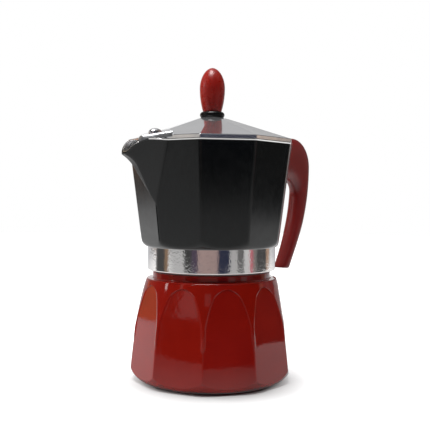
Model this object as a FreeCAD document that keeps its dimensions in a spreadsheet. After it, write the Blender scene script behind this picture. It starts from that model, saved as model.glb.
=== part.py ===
import FreeCAD, Part
import math
import os
from types import SimpleNamespace

import Sketcher
from FreeCAD import Placement, Rotation, Vector

# A stove-top moka pot for three cups, in millimetres and degrees.
# Z is up, the handle stands on +X, the spout on -X, and the origin is the centre of the underside.
SIZES = {
    "panel_count": 10,
    "cut_overrun": 2,
    # neck and its thread, which the other radii are measured from
    "thread_root_radius": 31.6,
    "thread_depth": 1.1,
    "thread_root_width": 1.7,
    "thread_crest_width": 0.7,
    "thread_pitch": 3,
    "thread_gap": 0.3,
    "thread_low_rise": 2.5,
    "thread_top_margin": 1.4,
    "thread_relief": 1.5,
    "neck_wall": 3.4,
    "neck_rise": 11.1,
    "bead_lip": 1.5,
    "bead_rise": 3.7,
    # boiler: a round bellied form, cut by ten slightly bowed panels
    "boiler_turn": 2,
    "shoulder_height": 56.2,
    "shoulder_step": 4,
    "shoulder_round": 1.4,
    "waist_swell": 6.2,
    "waist_height": 29,
    "belly_swell": 8.8,
    "belly_height": 9.4,
    "foot_inset": 7.4,
    "panel_foot_depth": 1.7,
    "panel_mid_depth": 1.7,
    "panel_mid_height": 26,
    "panel_top_gap": 0.1,
    "panel_top_drop": 2.2,
    "boiler_wall": 3,
    "boiler_floor": 3.6,
    "boiler_inner_round": 5,
    "boiler_inner_draft": 0.5,
    # safety valve on the second panel from the handle
    "valve_rise": 4,
    "valve_lean": 7.5,
    "valve_seat_step": 0.9,
    "valve_boss_radius": 8,
    "valve_boss_depth": 2.6,
    "valve_washer_radius": 7.4,
    "valve_washer_thickness": 1,
    "valve_hex_radius": 7.2,
    "valve_hex_thickness": 4,
    "valve_barrel_radius": 4.9,
    "valve_barrel_length": 4.6,
    "valve_shank_radius": 3.9,
    "valve_shank_length": 5.5,
    "valve_port_radius": 1.5,
    "valve_port_length": 2.5,
    "valve_chamber_radius": 2.8,
    "valve_head_thickness": 1.5,
    "valve_rod_radius": 0.9,
    "valve_rod_reach": 1.2,
    "valve_cap_thickness": 1,
    "valve_cap_sink": 0.7,
    "spring_wire_radius": 0.25,
    "spring_radius": 1.75,
    "spring_turns": 7,
    # basket, sieves and gasket
    "basket_gap": 0.5,
    "basket_wall": 0.9,
    "basket_depth": 22.4,
    "basket_ledge": 1.6,
    "basket_ledge_drop": 1.4,
    "basket_cone_drop": 4.2,
    "flange_inset": 0.6,
    "flange_thickness": 0.8,
    "stem_radius": 4.8,
    "stem_wall": 1,
    "stem_floor_gap": 4.9,
    "sieve_thickness": 0.6,
    "sieve_hole_radius": 0.55,
    "sieve_hole_spacing": 3.6,
    "sieve_margin": 3,
    "gasket_overlap": 1.2,
    "gasket_thickness": 3.5,
    "plate_inset": 1.8,
    "plate_thickness": 0.8,
    # collector: collar, ten walls and tang
    "collar_gap": 0.8,
    "collar_height": 13.7,
    "collar_wall": 2.7,
    "collar_lip": 0.8,
    "wall_step": 3.55,
    "wall_lean": 7.4,
    "wall_height": 56.6,
    "wall_thickness": 2.6,
    "wall_edge_round": 1.1,
    "wall_foot_rise": 4,
    "floor_thickness": 3.2,
    "brew_space_inset": 3.8,
    "brew_space_rise": 1.7,
    "tang_half": 2.5,
    "tang_reach": 6.5,
    "tang_low_drop": 16,
    "tang_top_drop": 3.5,
    # beak, measured outwards and downwards from the rim
    "beak_toe_inset": 4.05,
    "beak_toe_drop": 33.6,
    "beak_toe_sink": 0.4,
    "beak_wedge_reach": 30.15,
    "beak_rim_half": 10.2,
    "beak_rim_inset": 3.35,
    "beak_taper": 0.27,
    "beak_wall": 1.3,
    "beak_bend_reach": 9.55,
    "beak_bend_drop": 14.4,
    "beak_curl_reach": 12.85,
    "beak_curl_drop": 10.9,
    "lip_reach": 17.15,
    "lip_drop": 8.4,
    "lip_thickness": 1.1,
    "mouth_start_reach": 4.85,
    "mouth_mid_reach": 13.95,
    "mouth_mid_drop": 3.6,
    "channel_toe_rise": 6,
    "channel_toe_step": 1.6,
    "channel_bend_inset": 2.4,
    "channel_curl_rise": 0.8,
    "channel_curl_inset": 1.4,
    "channel_lip_inset": 0.2,
    "channel_top_reach": 3,
    # column that the coffee rises through
    "column_spigot_radius": 6,
    "column_foot_radius": 7.6,
    "column_foot_thickness": 1.6,
    "column_top_radius": 5,
    "column_bore_radius": 3.6,
    "column_drop": 13,
    "column_cap": 3,
    "column_window_half": 1.8,
    "column_window_height": 5,
    # lid and its cover over the spout
    "lid_overhang": 0.65,
    "lid_band": 2,
    "lid_top_radius": 8,
    "lid_rise": 13,
    "lid_seat": 3.6,
    "lid_skin": 1.8,
    "cover_tip_reach": 7.75,
    "cover_tip_half": 1,
    "cover_tip_drop": 0.7,
    "cover_base_inset": 3.85,
    "cover_base_half": 13.7,
    "cover_base_rise": 2,
    "cover_root_inset": 16.65,
    "cover_channel_half": 3,
    "cover_channel_inset": 3.4,
    "cover_skin": 1.5,
    "boss_inset": 3.45,
    "boss_length": 3.7,
    "boss_half": 2.9,
    "boss_rise": 2.3,
    # hinge
    "hinge_reach": 7.85,
    "hinge_rise": 2.5,
    "hinge_pin_radius": 1.5,
    "hinge_pin_gap": 0.06,
    "knuckle_gap": 0.3,
    "knuckle_radius": 3.1,
    # knob
    "knob_collar_radius": 7,
    "knob_collar_skirt": 6.5,
    "knob_collar_top_radius": 5.85,
    "knob_collar_thickness": 4.1,
    "knob_collar_skirt_thickness": 1.1,
    "knob_foot_radius": 5.35,
    "knob_radius": 7,
    "knob_radius_rise": 12.3,
    "knob_height": 25.2,
    "knob_tip_radius": 4,
    "knob_low_radius": 6.45,
    "knob_low_rise": 5.6,
    "insert_radius": 3.3,
    "insert_length": 9,
    "screw_radius": 1.9,
    "screw_gap": 0.1,
    "screw_bite": 7.5,
    "screw_head_radius": 3.6,
    "screw_head_thickness": 2.3,
    "screw_head_flat_radius": 2.2,
    "screw_head_dome_radius": 3.25,
    "screw_head_dome_rise": 0.8,
    "screw_slot_half": 0.45,
    "screw_slot_depth": 1,
    "screw_washer_radius": 4.6,
    "screw_washer_thickness": 0.8,
    # handle, measured outwards and downwards from the hinge
    "handle_width": 11,
    "handle_round": 2.7,
    "handle_slot_gap": 0.1,
    "handle_slot_reach": 8.5,
    "handle_knuckle": 5.2,
    "handle_top_reach": 19.1,
    "handle_corner": 14.9,
    "handle_tail_outer_reach": 14.5,
    "handle_tail_outer_drop": 75.9,
    "handle_tail_inner_reach": 8.7,
    "handle_tail_inner_drop": 72.3,
    "handle_web_reach": 25.8,
    "handle_web_drop": 20.4,
    "handle_web_round": 10,
    "handle_heel_inset": 7.3,
    "handle_screw_reach": 2.5,
    "handle_screw_drop": 13,
    "handle_screw_radius": 1.9,
    "handle_screw_head_radius": 3.4,
    "handle_screw_head_thickness": 1.9,
}

doc = FreeCAD.newDocument("moka_pot")
sheet = doc.addObject("Spreadsheet::Sheet", "sizes")
for row, (alias, size) in enumerate(SIZES.items(), start=1):
    sheet.set(f"A{row}", alias)
    sheet.set(f"B{row}", str(size))
    sheet.setAlias(f"B{row}", alias)
doc.recompute()
s = SimpleNamespace(**{alias: f"sizes.{alias}" for alias in SIZES})


def number(formula):
    """Present value of a formula of sheet cells."""
    return float(sheet.evalExpression(formula))


def body_named(label):
    """New empty body, whose name is the piece's name."""
    return doc.addObject("PartDesign::Body", label)


def sketch_on(body, role, lift="0"):
    """Empty sketch on one of the body's origin planes, moved along that plane's normal."""
    sketch = body.newObject("Sketcher::SketchObject", f"{body.Name}_sketch")
    plane = next(item for item in body.Origin.OriginFeatures if item.Role == role)
    sketch.AttachmentSupport = (plane, [""])
    sketch.MapMode = "FlatFace"
    sketch.setExpression("AttachmentOffset.Base.z", lift)
    return sketch


def hold(sketch, geometry, end, x, y):
    """Hold one point of a sketch at two formulas, measured from the sketch's origin."""
    for kind, axis, formula in (("DistanceX", -2, x), ("DistanceY", -1, y)):
        if formula == "0":
            sketch.addConstraint(Sketcher.Constraint("PointOnObject", geometry, end, axis))
            continue
        rule = Sketcher.Constraint(kind, -1, 1, geometry, end, number(formula))
        index = sketch.addConstraint(rule)
        sketch.setExpression(f"Constraints[{index}]", formula)


def outline(sketch, corners):
    """Closed outline through corners (x, y).

    A third item makes the next side an arc: a point (x, y) that it passes through, or the word tangent
    for one that carries on smoothly from the side before it.
    """
    points = [Vector(number(corner[0]), number(corner[1]), 0) for corner in corners]
    sides = []
    heading = 0
    for index, corner in enumerate(corners):
        here = points[index]
        chord = points[(index + 1) % len(points)] - here
        smooth = corner[2:] == ("tangent",)
        if len(corner) == 2:
            heading = math.atan2(chord.y, chord.x)
            side = sketch.addGeometry(Part.LineSegment(here, here + chord), False)
            sides.append((side, 1, 2, smooth))
            continue
        if smooth:
            swing = math.remainder(heading - math.atan2(chord.y, chord.x), math.tau)
            heading -= 2 * swing
            via = here + chord / 2 + Vector(-chord.y, chord.x, 0) * (math.tan(swing / 2) / 2)
        else:
            via = Vector(number(corner[2][0]), number(corner[2][1]), 0)
        turns_left = (via - here).cross(chord).z > 0
        arc = Part.Arc(here, via, here + chord) if turns_left else Part.Arc(here + chord, via, here)
        side = sketch.addGeometry(arc, False)
        sides.append((side, 1, 2, smooth) if turns_left else (side, 2, 1, smooth))
        if not smooth:
            mark = sketch.addGeometry(Part.Point(via), True)
            sketch.addConstraint(Sketcher.Constraint("PointOnObject", mark, 1, side))
            hold(sketch, mark, 1, *corner[2])
    for index, (side, start, _, smooth) in enumerate(sides):
        last_side, _, last_end, _ = sides[index - 1]
        joint = "Tangent" if smooth else "Coincident"
        sketch.addConstraint(Sketcher.Constraint(joint, last_side, last_end, side, start))
        hold(sketch, side, start, *corners[index][:2])
    return sketch


def disc(sketch, radius, x="0", y="0"):
    """Circle about a point, both given by formulas."""
    circle = Part.Circle(Vector(number(x), number(y), 0), Vector(0, 0, 1), number(radius))
    ring = sketch.addGeometry(circle, False)
    index = sketch.addConstraint(Sketcher.Constraint("Radius", ring, number(radius)))
    sketch.setExpression(f"Constraints[{index}]", radius)
    hold(sketch, ring, 3, x, y)
    return sketch


def regular(sketch, radius, sides):
    """Regular polygon about the sketch's origin, with a corner on its first axis."""
    angles = [f"{step} * 360 / {sides}" for step in range(round(number(sides)))]
    return outline(sketch, [(f"{radius} * cos({angle})", f"{radius} * sin({angle})") for angle in angles])


def regular_rounded(sketch, radius, sides, edge_round):
    """Regular polygon as above, with each corner rounded by an arc between its two sides."""
    corners = []
    half = f"(180 / {sides})"
    tip = f"({radius} - {edge_round} * (1 / cos({half}) - 1))"
    back = f"({edge_round} * tan({half}))"
    for step in range(round(number(sides))):
        angle = f"({step} * 360 / {sides})"
        before = f"({angle} - 90 - {half})"
        after = f"({angle} + 90 + {half})"
        corners.append((
            f"{radius} * cos({angle}) + {back} * cos({before})",
            f"{radius} * sin({angle}) + {back} * sin({before})",
            (f"{tip} * cos({angle})", f"{tip} * sin({angle})"),
        ))
        corners.append((
            f"{radius} * cos({angle}) + {back} * cos({after})",
            f"{radius} * sin({angle}) + {back} * sin({after})",
        ))
    return outline(sketch, corners)


def turned(body, kind, corners):
    """Revolution or Groove of an outline of (radius, height) corners about the Z axis."""
    sketch = outline(sketch_on(body, "XZ_Plane"), corners)
    feature = body.newObject(f"PartDesign::{kind}", f"{body.Name}_{kind}")
    feature.Profile = sketch
    feature.ReferenceAxis = (sketch, ["V_Axis"])
    feature.Angle = 360
    return feature


def extruded(body, kind, sketch, length, both_ways=False):
    """Pad or Pocket of a sketch; a Pad goes along the plane's normal, a Pocket against it."""
    feature = body.newObject(f"PartDesign::{kind}", f"{body.Name}_{kind}")
    feature.Profile = sketch
    feature.SideType = "Symmetric" if both_ways else "One side"
    feature.setExpression("Length", length)
    return feature


def lofted(body, kind, sketches):
    """Straight-sided loft, added or taken away, through sketches in order."""
    feature = body.newObject(f"PartDesign::{kind}", f"{body.Name}_{kind}")
    feature.Profile = sketches[0]
    feature.Sections = sketches[1:]
    feature.Ruled = True
    return feature


def repeated(body, feature, sketch, count):
    """Copies of a feature in a ring about the sketch's normal."""
    pattern = body.newObject("PartDesign::PolarPattern", f"{body.Name}_ring")
    pattern.Originals = [feature]
    pattern.Axis = (sketch, ["N_Axis"])
    pattern.Angle = 360
    pattern.setExpression("Occurrences", count)
    body.Tip = pattern
    return pattern


def rounded(body, radius, chosen):
    """Fillet of the tip's edges for which chosen(edge) holds."""
    doc.recompute()
    base = body.Tip
    names = [f"Edge{index}" for index, edge in enumerate(base.Shape.Edges, start=1) if chosen(edge)]
    fillet = body.newObject("PartDesign::Fillet", f"{body.Name}_fillet")
    fillet.Base = (base, names)
    fillet.setExpression("Radius", radius)
    return fillet


def helical(body, kind, corners, pitch, turns):
    """Right-handed helix of an outline of (radius, height) corners about the Z axis."""
    sketch = outline(sketch_on(body, "XZ_Plane"), corners)
    feature = body.newObject(f"PartDesign::{kind}", f"{body.Name}_{kind}")
    feature.Profile = sketch
    feature.ReferenceAxis = (sketch, ["V_Axis"])
    feature.Mode = "pitch-turns-angle"
    feature.setExpression("Pitch", pitch)
    feature.setExpression("Turns", turns)
    return feature


def perforated(body, low, disc_radius):
    """Six holes on the first ring, twelve on the second and so on, as far as the margin, and one between."""
    rings = int((number(disc_radius) - number(s.sieve_margin)) / number(s.sieve_hole_spacing))
    for ring in range(rings + 1):
        sketch = sketch_on(body, "XY_Plane", low)
        centre = f"{ring} * {s.sieve_hole_spacing}" if ring else "0"
        disc(sketch, s.sieve_hole_radius, centre)
        hole = extruded(body, "Pocket", sketch, f"4 * {s.plate_thickness}", both_ways=True)
        if ring:
            repeated(body, hole, sketch, str(6 * ring))


# Boiler: radii outwards from the thread, and heights upwards from the base.
half_panel = f"(180 / {s.panel_count})"
boiler_angle = f"({s.boiler_turn} + {half_panel})"
bead_radius = f"({s.thread_root_radius} + {s.bead_lip})"
neck_bore = f"({s.thread_root_radius} - {s.neck_wall})"
shoulder_radius = f"({bead_radius} + {s.shoulder_step})"
waist_radius = f"({shoulder_radius} + {s.waist_swell})"
belly_radius = f"({shoulder_radius} + {s.belly_swell})"
foot_radius = f"({belly_radius} - {s.foot_inset})"
panel_foot = f"({belly_radius} - {s.panel_foot_depth})"
panel_mid = f"({waist_radius} - {s.panel_mid_depth})"
panel_top = f"({shoulder_radius} + {s.panel_top_gap})"
panel_top_height = f"({s.shoulder_height} - {s.panel_top_drop})"
bead_height = f"({s.shoulder_height} + {s.bead_rise})"
neck_height = f"({bead_height} + {s.neck_rise})"
thread_low = f"({bead_height} + {s.thread_low_rise})"
thread_turns = f"(({neck_height} - {thread_low} - {s.thread_top_margin}) / {s.thread_pitch})"
valve_height = f"({s.panel_mid_height} + {s.valve_rise})"
valve_seat_radius = f"({panel_mid} + {s.valve_seat_step})"

# Basket, gasket and plate, stacked on the neck.
basket_radius = f"({neck_bore} - {s.basket_gap})"
flange_radius = f"({s.thread_root_radius} - {s.flange_inset})"
gasket_bore = f"({basket_radius} - {s.gasket_overlap})"
plate_radius = f"({s.thread_root_radius} - {s.plate_inset})"
flange_top = f"({neck_height} + {s.flange_thickness})"
gasket_top = f"({flange_top} + {s.gasket_thickness})"
plate_top = f"({gasket_top} + {s.plate_thickness})"
sieve_low = f"({flange_top} - {s.basket_depth})"

# Collector: the collar goes round the thread, and its floor lies over the plate.
collar_bore = f"({s.thread_root_radius} + {s.thread_gap})"
groove_radius = f"({s.thread_root_radius} + {s.thread_depth} + {s.thread_gap})"
collar_radius = f"({groove_radius} + {s.collar_wall})"
collar_low = f"({bead_height} + {s.collar_gap})"
wall_low_radius = f"({collar_radius} + {s.wall_step})"
wall_low = f"({collar_low} + {s.collar_height})"
rim_radius = f"({wall_low_radius} + {s.wall_lean})"
rim_height = f"({wall_low} + {s.wall_height})"
floor_height = f"({plate_top} + {s.brew_space_rise} + {s.floor_thickness})"
brew_space_radius = f"({plate_radius} - {s.brew_space_inset})"
column_height = f"({rim_height} - {s.column_drop})"
hinge_radius = f"({rim_radius} + {s.hinge_reach})"
hinge_height = f"({rim_height} + {s.hinge_rise})"
tang_low = f"({rim_height} - {s.tang_low_drop})"
handle_screw_x = f"({hinge_radius} + {s.handle_screw_reach})"
handle_screw_z = f"({hinge_height} - {s.handle_screw_drop})"

# Beak, outwards and downwards from the rim.
beak_toe_radius = f"({rim_radius} - {s.beak_toe_inset})"
beak_toe_height = f"({rim_height} - {s.beak_toe_drop})"
beak_wedge_radius = f"({rim_radius} + {s.beak_wedge_reach})"
beak_rim_radius = f"({rim_radius} - {s.beak_rim_inset})"
beak_bend_radius = f"({rim_radius} + {s.beak_bend_reach})"
beak_bend_height = f"({rim_height} - {s.beak_bend_drop})"
beak_curl_radius = f"({rim_radius} + {s.beak_curl_reach})"
beak_curl_height = f"({rim_height} - {s.beak_curl_drop})"
lip_radius = f"({rim_radius} + {s.lip_reach})"
lip_height = f"({rim_height} - {s.lip_drop})"
mouth_start_radius = f"({rim_radius} + {s.mouth_start_reach})"
mouth_mid_radius = f"({rim_radius} + {s.mouth_mid_reach})"
mouth_mid_height = f"({rim_height} - {s.mouth_mid_drop})"

# Lid and knob, stacked on the rim.
lid_radius = f"({rim_radius} + {s.lid_overhang})"
band_top = f"({rim_height} + {s.lid_band})"
lid_top = f"({band_top} + {s.lid_rise})"
knob_collar_top = f"({lid_top} + {s.knob_collar_thickness})"


def boiler():
    """Water vessel: a turned form cut by bowed panels, hollowed, with a threaded neck and a valve boss."""
    body = body_named("boiler")
    turned(body, "Revolution", [
        ("0", "0"),
        (foot_radius, "0", (
            f"{foot_radius} + ({belly_radius} - {foot_radius}) * sin(45)",
            f"{s.belly_height} * (1 - cos(45))",
        )),
        (belly_radius, s.belly_height, (waist_radius, s.waist_height)),
        (shoulder_radius, f"{s.shoulder_height} - {s.shoulder_round}", (
            f"{shoulder_radius} - {s.shoulder_round} * (1 - cos(45))",
            f"{s.shoulder_height} - {s.shoulder_round} * (1 - sin(45))",
        )),
        (f"{shoulder_radius} - {s.shoulder_round}", s.shoulder_height),
        (bead_radius, s.shoulder_height),
        (bead_radius, bead_height),
        (s.thread_root_radius, bead_height),
        (s.thread_root_radius, neck_height),
        ("0", neck_height),
    ])
    panel = outline(sketch_on(body, "XZ_Plane"), [
        (panel_foot, "0", (panel_mid, s.panel_mid_height)),
        (panel_top, panel_top_height),
        (f"{belly_radius} + {s.boiler_wall}", panel_top_height),
        (f"{belly_radius} + {s.boiler_wall}", "0"),
    ])
    cut = extruded(body, "Pocket", panel, f"2 * {belly_radius}", both_ways=True)
    spin = sketch_on(body, "XY_Plane")
    repeated(body, cut, spin, s.panel_count)
    seat = body.newObject("PartDesign::AdditiveCylinder", "valve_boss")
    seat.setExpression("Radius", s.valve_boss_radius)
    seat.setExpression("Height", s.valve_boss_depth)
    seat.Placement = valve_place(f"360 / {s.panel_count}", f"-{s.valve_boss_depth}")
    inner_foot = f"({panel_foot} - {s.boiler_wall})"
    ceiling = f"({s.shoulder_height} - {s.boiler_wall})"
    turned(body, "Groove", [
        ("0", s.boiler_floor),
        (f"{inner_foot} - {s.boiler_inner_round}", s.boiler_floor),
        (f"{inner_foot} - {s.boiler_inner_draft}", f"{s.boiler_floor} + {s.boiler_inner_round}"),
        (f"{panel_mid} - {s.boiler_wall}", s.panel_mid_height),
        (f"{panel_top} - {s.boiler_wall}", f"{ceiling} - {s.boiler_wall}"),
        (neck_bore, ceiling),
        (neck_bore, f"{neck_height} + {s.boiler_wall}"),
        ("0", f"{neck_height} + {s.boiler_wall}"),
    ])
    hole = body.newObject("PartDesign::SubtractiveCylinder", "valve_hole")
    hole.setExpression("Radius", f"{s.valve_shank_radius} + {s.screw_gap}")
    hole.setExpression("Height", f"2 * {s.valve_shank_length}")
    hole.Placement = valve_place(f"360 / {s.panel_count}", f"-{s.valve_shank_length}")
    low = thread_low
    helical(body, "AdditiveHelix", [
        (f"{s.thread_root_radius} - {s.thread_gap}", f"{low} - {s.thread_root_width} / 2"),
        (s.thread_root_radius, f"{low} - {s.thread_root_width} / 2"),
        (f"{s.thread_root_radius} + {s.thread_depth}", f"{low} - {s.thread_crest_width} / 2"),
        (f"{s.thread_root_radius} + {s.thread_depth}", f"{low} + {s.thread_crest_width} / 2"),
        (s.thread_root_radius, f"{low} + {s.thread_root_width} / 2"),
        (f"{s.thread_root_radius} - {s.thread_gap}", f"{low} + {s.thread_root_width} / 2"),
    ], s.thread_pitch, thread_turns)
    body.setExpression("Placement.Rotation.Angle", boiler_angle)
    return body


def valve_place(angle, reach):
    """Placement on the valve's axis: Z points out of the panel, and reach is measured from the seat."""
    turn = Rotation(Vector(0, 0, 1), number(angle)) * Rotation(Vector(0, 1, 0), 90 - number(s.valve_lean))
    foot = Rotation(Vector(0, 0, 1), number(angle)).multVec(
        Vector(number(valve_seat_radius), 0, number(valve_height)))
    return Placement(foot + turn.multVec(Vector(0, 0, number(reach))), turn)


# Valve pieces are drawn along their own Z axis, with the boss face at zero.
valve_angle = f"({boiler_angle} + 360 / {s.panel_count})"
hex_top = f"({s.valve_washer_thickness} + {s.valve_hex_thickness})"
barrel_top = f"({hex_top} + {s.valve_barrel_length})"
valve_seat = f"({s.valve_port_length} - {s.valve_shank_length})"
head_top = f"({valve_seat} + {s.valve_head_thickness})"
cap_top = f"({barrel_top} - {s.valve_cap_sink})"
cap_low = f"({cap_top} - {s.valve_cap_thickness})"
loose = f"(2 * {s.screw_gap})"


def safety_valve_washer():
    """Flat seal ring between the boss and the valve housing."""
    body = body_named("safety_valve_washer")
    ring = disc(sketch_on(body, "XY_Plane"), s.valve_washer_radius)
    disc(ring, f"{s.valve_shank_radius} + {s.screw_gap}")
    extruded(body, "Pad", ring, s.valve_washer_thickness)
    body.Placement = valve_place(valve_angle, "0")
    return body


def safety_valve_body():
    """Brass housing: a hexagon between a shank in the boiler wall and a barrel, bored through in steps."""
    body = body_named("safety_valve_body")
    turned(body, "Revolution", [
        ("0", f"-{s.valve_shank_length}"),
        (s.valve_shank_radius, f"-{s.valve_shank_length}"),
        (s.valve_shank_radius, s.valve_washer_thickness),
        (s.valve_barrel_radius, s.valve_washer_thickness),
        (s.valve_barrel_radius, barrel_top),
        ("0", barrel_top),
    ])
    nut = regular(sketch_on(body, "XY_Plane", s.valve_washer_thickness), s.valve_hex_radius, "6")
    extruded(body, "Pad", nut, s.valve_hex_thickness)
    turned(body, "Groove", [
        ("0", f"-2 * {s.valve_shank_length}"),
        (s.valve_port_radius, f"-2 * {s.valve_shank_length}"),
        (s.valve_port_radius, valve_seat),
        (s.valve_chamber_radius, valve_seat),
        (s.valve_chamber_radius, f"2 * {barrel_top}"),
        ("0", f"2 * {barrel_top}"),
    ])
    body.Placement = valve_place(valve_angle, "0")
    return body


def safety_valve_stem():
    """Stem whose head closes the port, with a rod that shows beyond the barrel."""
    body = body_named("safety_valve_stem")
    head_radius = f"({s.valve_chamber_radius} - {loose})"
    turned(body, "Revolution", [
        ("0", valve_seat),
        (head_radius, valve_seat),
        (head_radius, head_top),
        (s.valve_rod_radius, head_top),
        (s.valve_rod_radius, f"{barrel_top} + {s.valve_rod_reach}"),
        ("0", f"{barrel_top} + {s.valve_rod_reach}"),
    ])
    body.Placement = valve_place(valve_angle, "0")
    return body


def safety_valve_spring():
    """Coil spring round the rod, from the stem's head to the cap."""
    body = body_named("safety_valve_spring")
    low = f"({head_top} + {s.spring_wire_radius} + {s.screw_gap})"
    climb = f"({cap_low} - {head_top} - 2 * {s.spring_wire_radius} - 2 * {s.screw_gap})"
    sketch = disc(sketch_on(body, "XZ_Plane"), s.spring_wire_radius, s.spring_radius, low)
    coil = body.newObject("PartDesign::AdditiveHelix", "spring_coil")
    coil.Profile = sketch
    coil.ReferenceAxis = (sketch, ["V_Axis"])
    coil.Mode = "height-turns-angle"
    coil.setExpression("Height", climb)
    coil.setExpression("Turns", s.spring_turns)
    body.Placement = valve_place(valve_angle, "0")
    self_gap = number(f"{climb} / {s.spring_turns} - 2 * {s.spring_wire_radius}")
    print(f"safety_valve_spring: least gap between turns {self_gap:.2f} mm")
    return body


def safety_valve_cap():
    """Disc pressed into the barrel's end, which the spring bears on and the rod slides through."""
    body = body_named("safety_valve_cap")
    ring = disc(sketch_on(body, "XY_Plane", cap_low), f"{s.valve_chamber_radius} - {s.screw_gap} / 2")
    disc(ring, f"{s.valve_rod_radius} + {s.screw_gap}")
    extruded(body, "Pad", ring, s.valve_cap_thickness)
    body.Placement = valve_place(valve_angle, "0")
    return body


def funnel():
    """Coffee basket: a flange on the neck, a cup, a ledge for the sieve, and a stem down to the water."""
    body = body_named("funnel")
    bore = f"({basket_radius} - {s.basket_wall})"
    ledge = f"({bore} - {s.basket_ledge})"
    stem_bore = f"({s.stem_radius} - {s.stem_wall})"
    stem_low = f"({s.boiler_floor} + {s.stem_floor_gap})"
    cup_low = f"({sieve_low} - {s.basket_ledge_drop})"
    turned(body, "Revolution", [
        (stem_bore, stem_low),
        (s.stem_radius, stem_low),
        (s.stem_radius, f"{cup_low} - {s.basket_cone_drop} - {s.basket_wall}"),
        (ledge, f"{cup_low} - {s.basket_wall}"),
        (basket_radius, cup_low),
        (basket_radius, neck_height),
        (flange_radius, neck_height),
        (flange_radius, flange_top),
        (bore, flange_top),
        (bore, sieve_low),
        (ledge, sieve_low),
        (ledge, cup_low),
        (stem_bore, f"{cup_low} - {s.basket_cone_drop}"),
    ])
    return body


def funnel_sieve():
    """Perforated disc on the basket's ledge."""
    body = body_named("funnel_sieve")
    radius = f"({basket_radius} - {s.basket_wall} - {loose})"
    extruded(body, "Pad", disc(sketch_on(body, "XY_Plane", sieve_low), radius), s.sieve_thickness)
    perforated(body, sieve_low, radius)
    return body


def gasket():
    """Flat ring seal that the basket's flange presses up against the sieve plate and the collector."""
    body = body_named("gasket")
    ring = disc(sketch_on(body, "XY_Plane", flange_top), f"{collar_bore} - {s.thread_gap}")
    disc(ring, gasket_bore)
    extruded(body, "Pad", ring, s.gasket_thickness)
    return body


def sieve_plate():
    """Perforated plate that the gasket holds up in the collector's underside."""
    body = body_named("sieve_plate")
    extruded(body, "Pad", disc(sketch_on(body, "XY_Plane", gasket_top), plate_radius), s.plate_thickness)
    perforated(body, gasket_top, gasket_bore)
    return body


def wall_radius(height):
    """Corner radius of the collector's outside at a height."""
    climb = f"({height} - {wall_low}) / ({rim_height} - {wall_low})"
    return f"({wall_low_radius} + ({rim_radius} - {wall_low_radius}) * {climb})"


def beak_section(body, height, front, inset):
    """Level section of the beak: its flanks lean out with height and close in towards the front."""
    lean = (f"({s.beak_rim_half} + {s.beak_taper} * ({beak_rim_radius} - {beak_toe_radius}))"
            f" / ({rim_height} - {beak_toe_height})")

    def half(radius):
        return (f"({s.beak_rim_half} - {s.beak_taper} * ({radius} - {beak_rim_radius})"
                f" - {lean} * ({rim_height} - {height}) - {inset})")

    root = f"({beak_toe_radius} - 4 * {s.wall_thickness})"
    return outline(sketch_on(body, "XY_Plane", height), [
        (f"-{root}", half(root)),
        (f"-{front}", half(front)),
        (f"-{front}", f"-{half(front)}"),
        (f"-{root}", f"-{half(root)}"),
    ])


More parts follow.
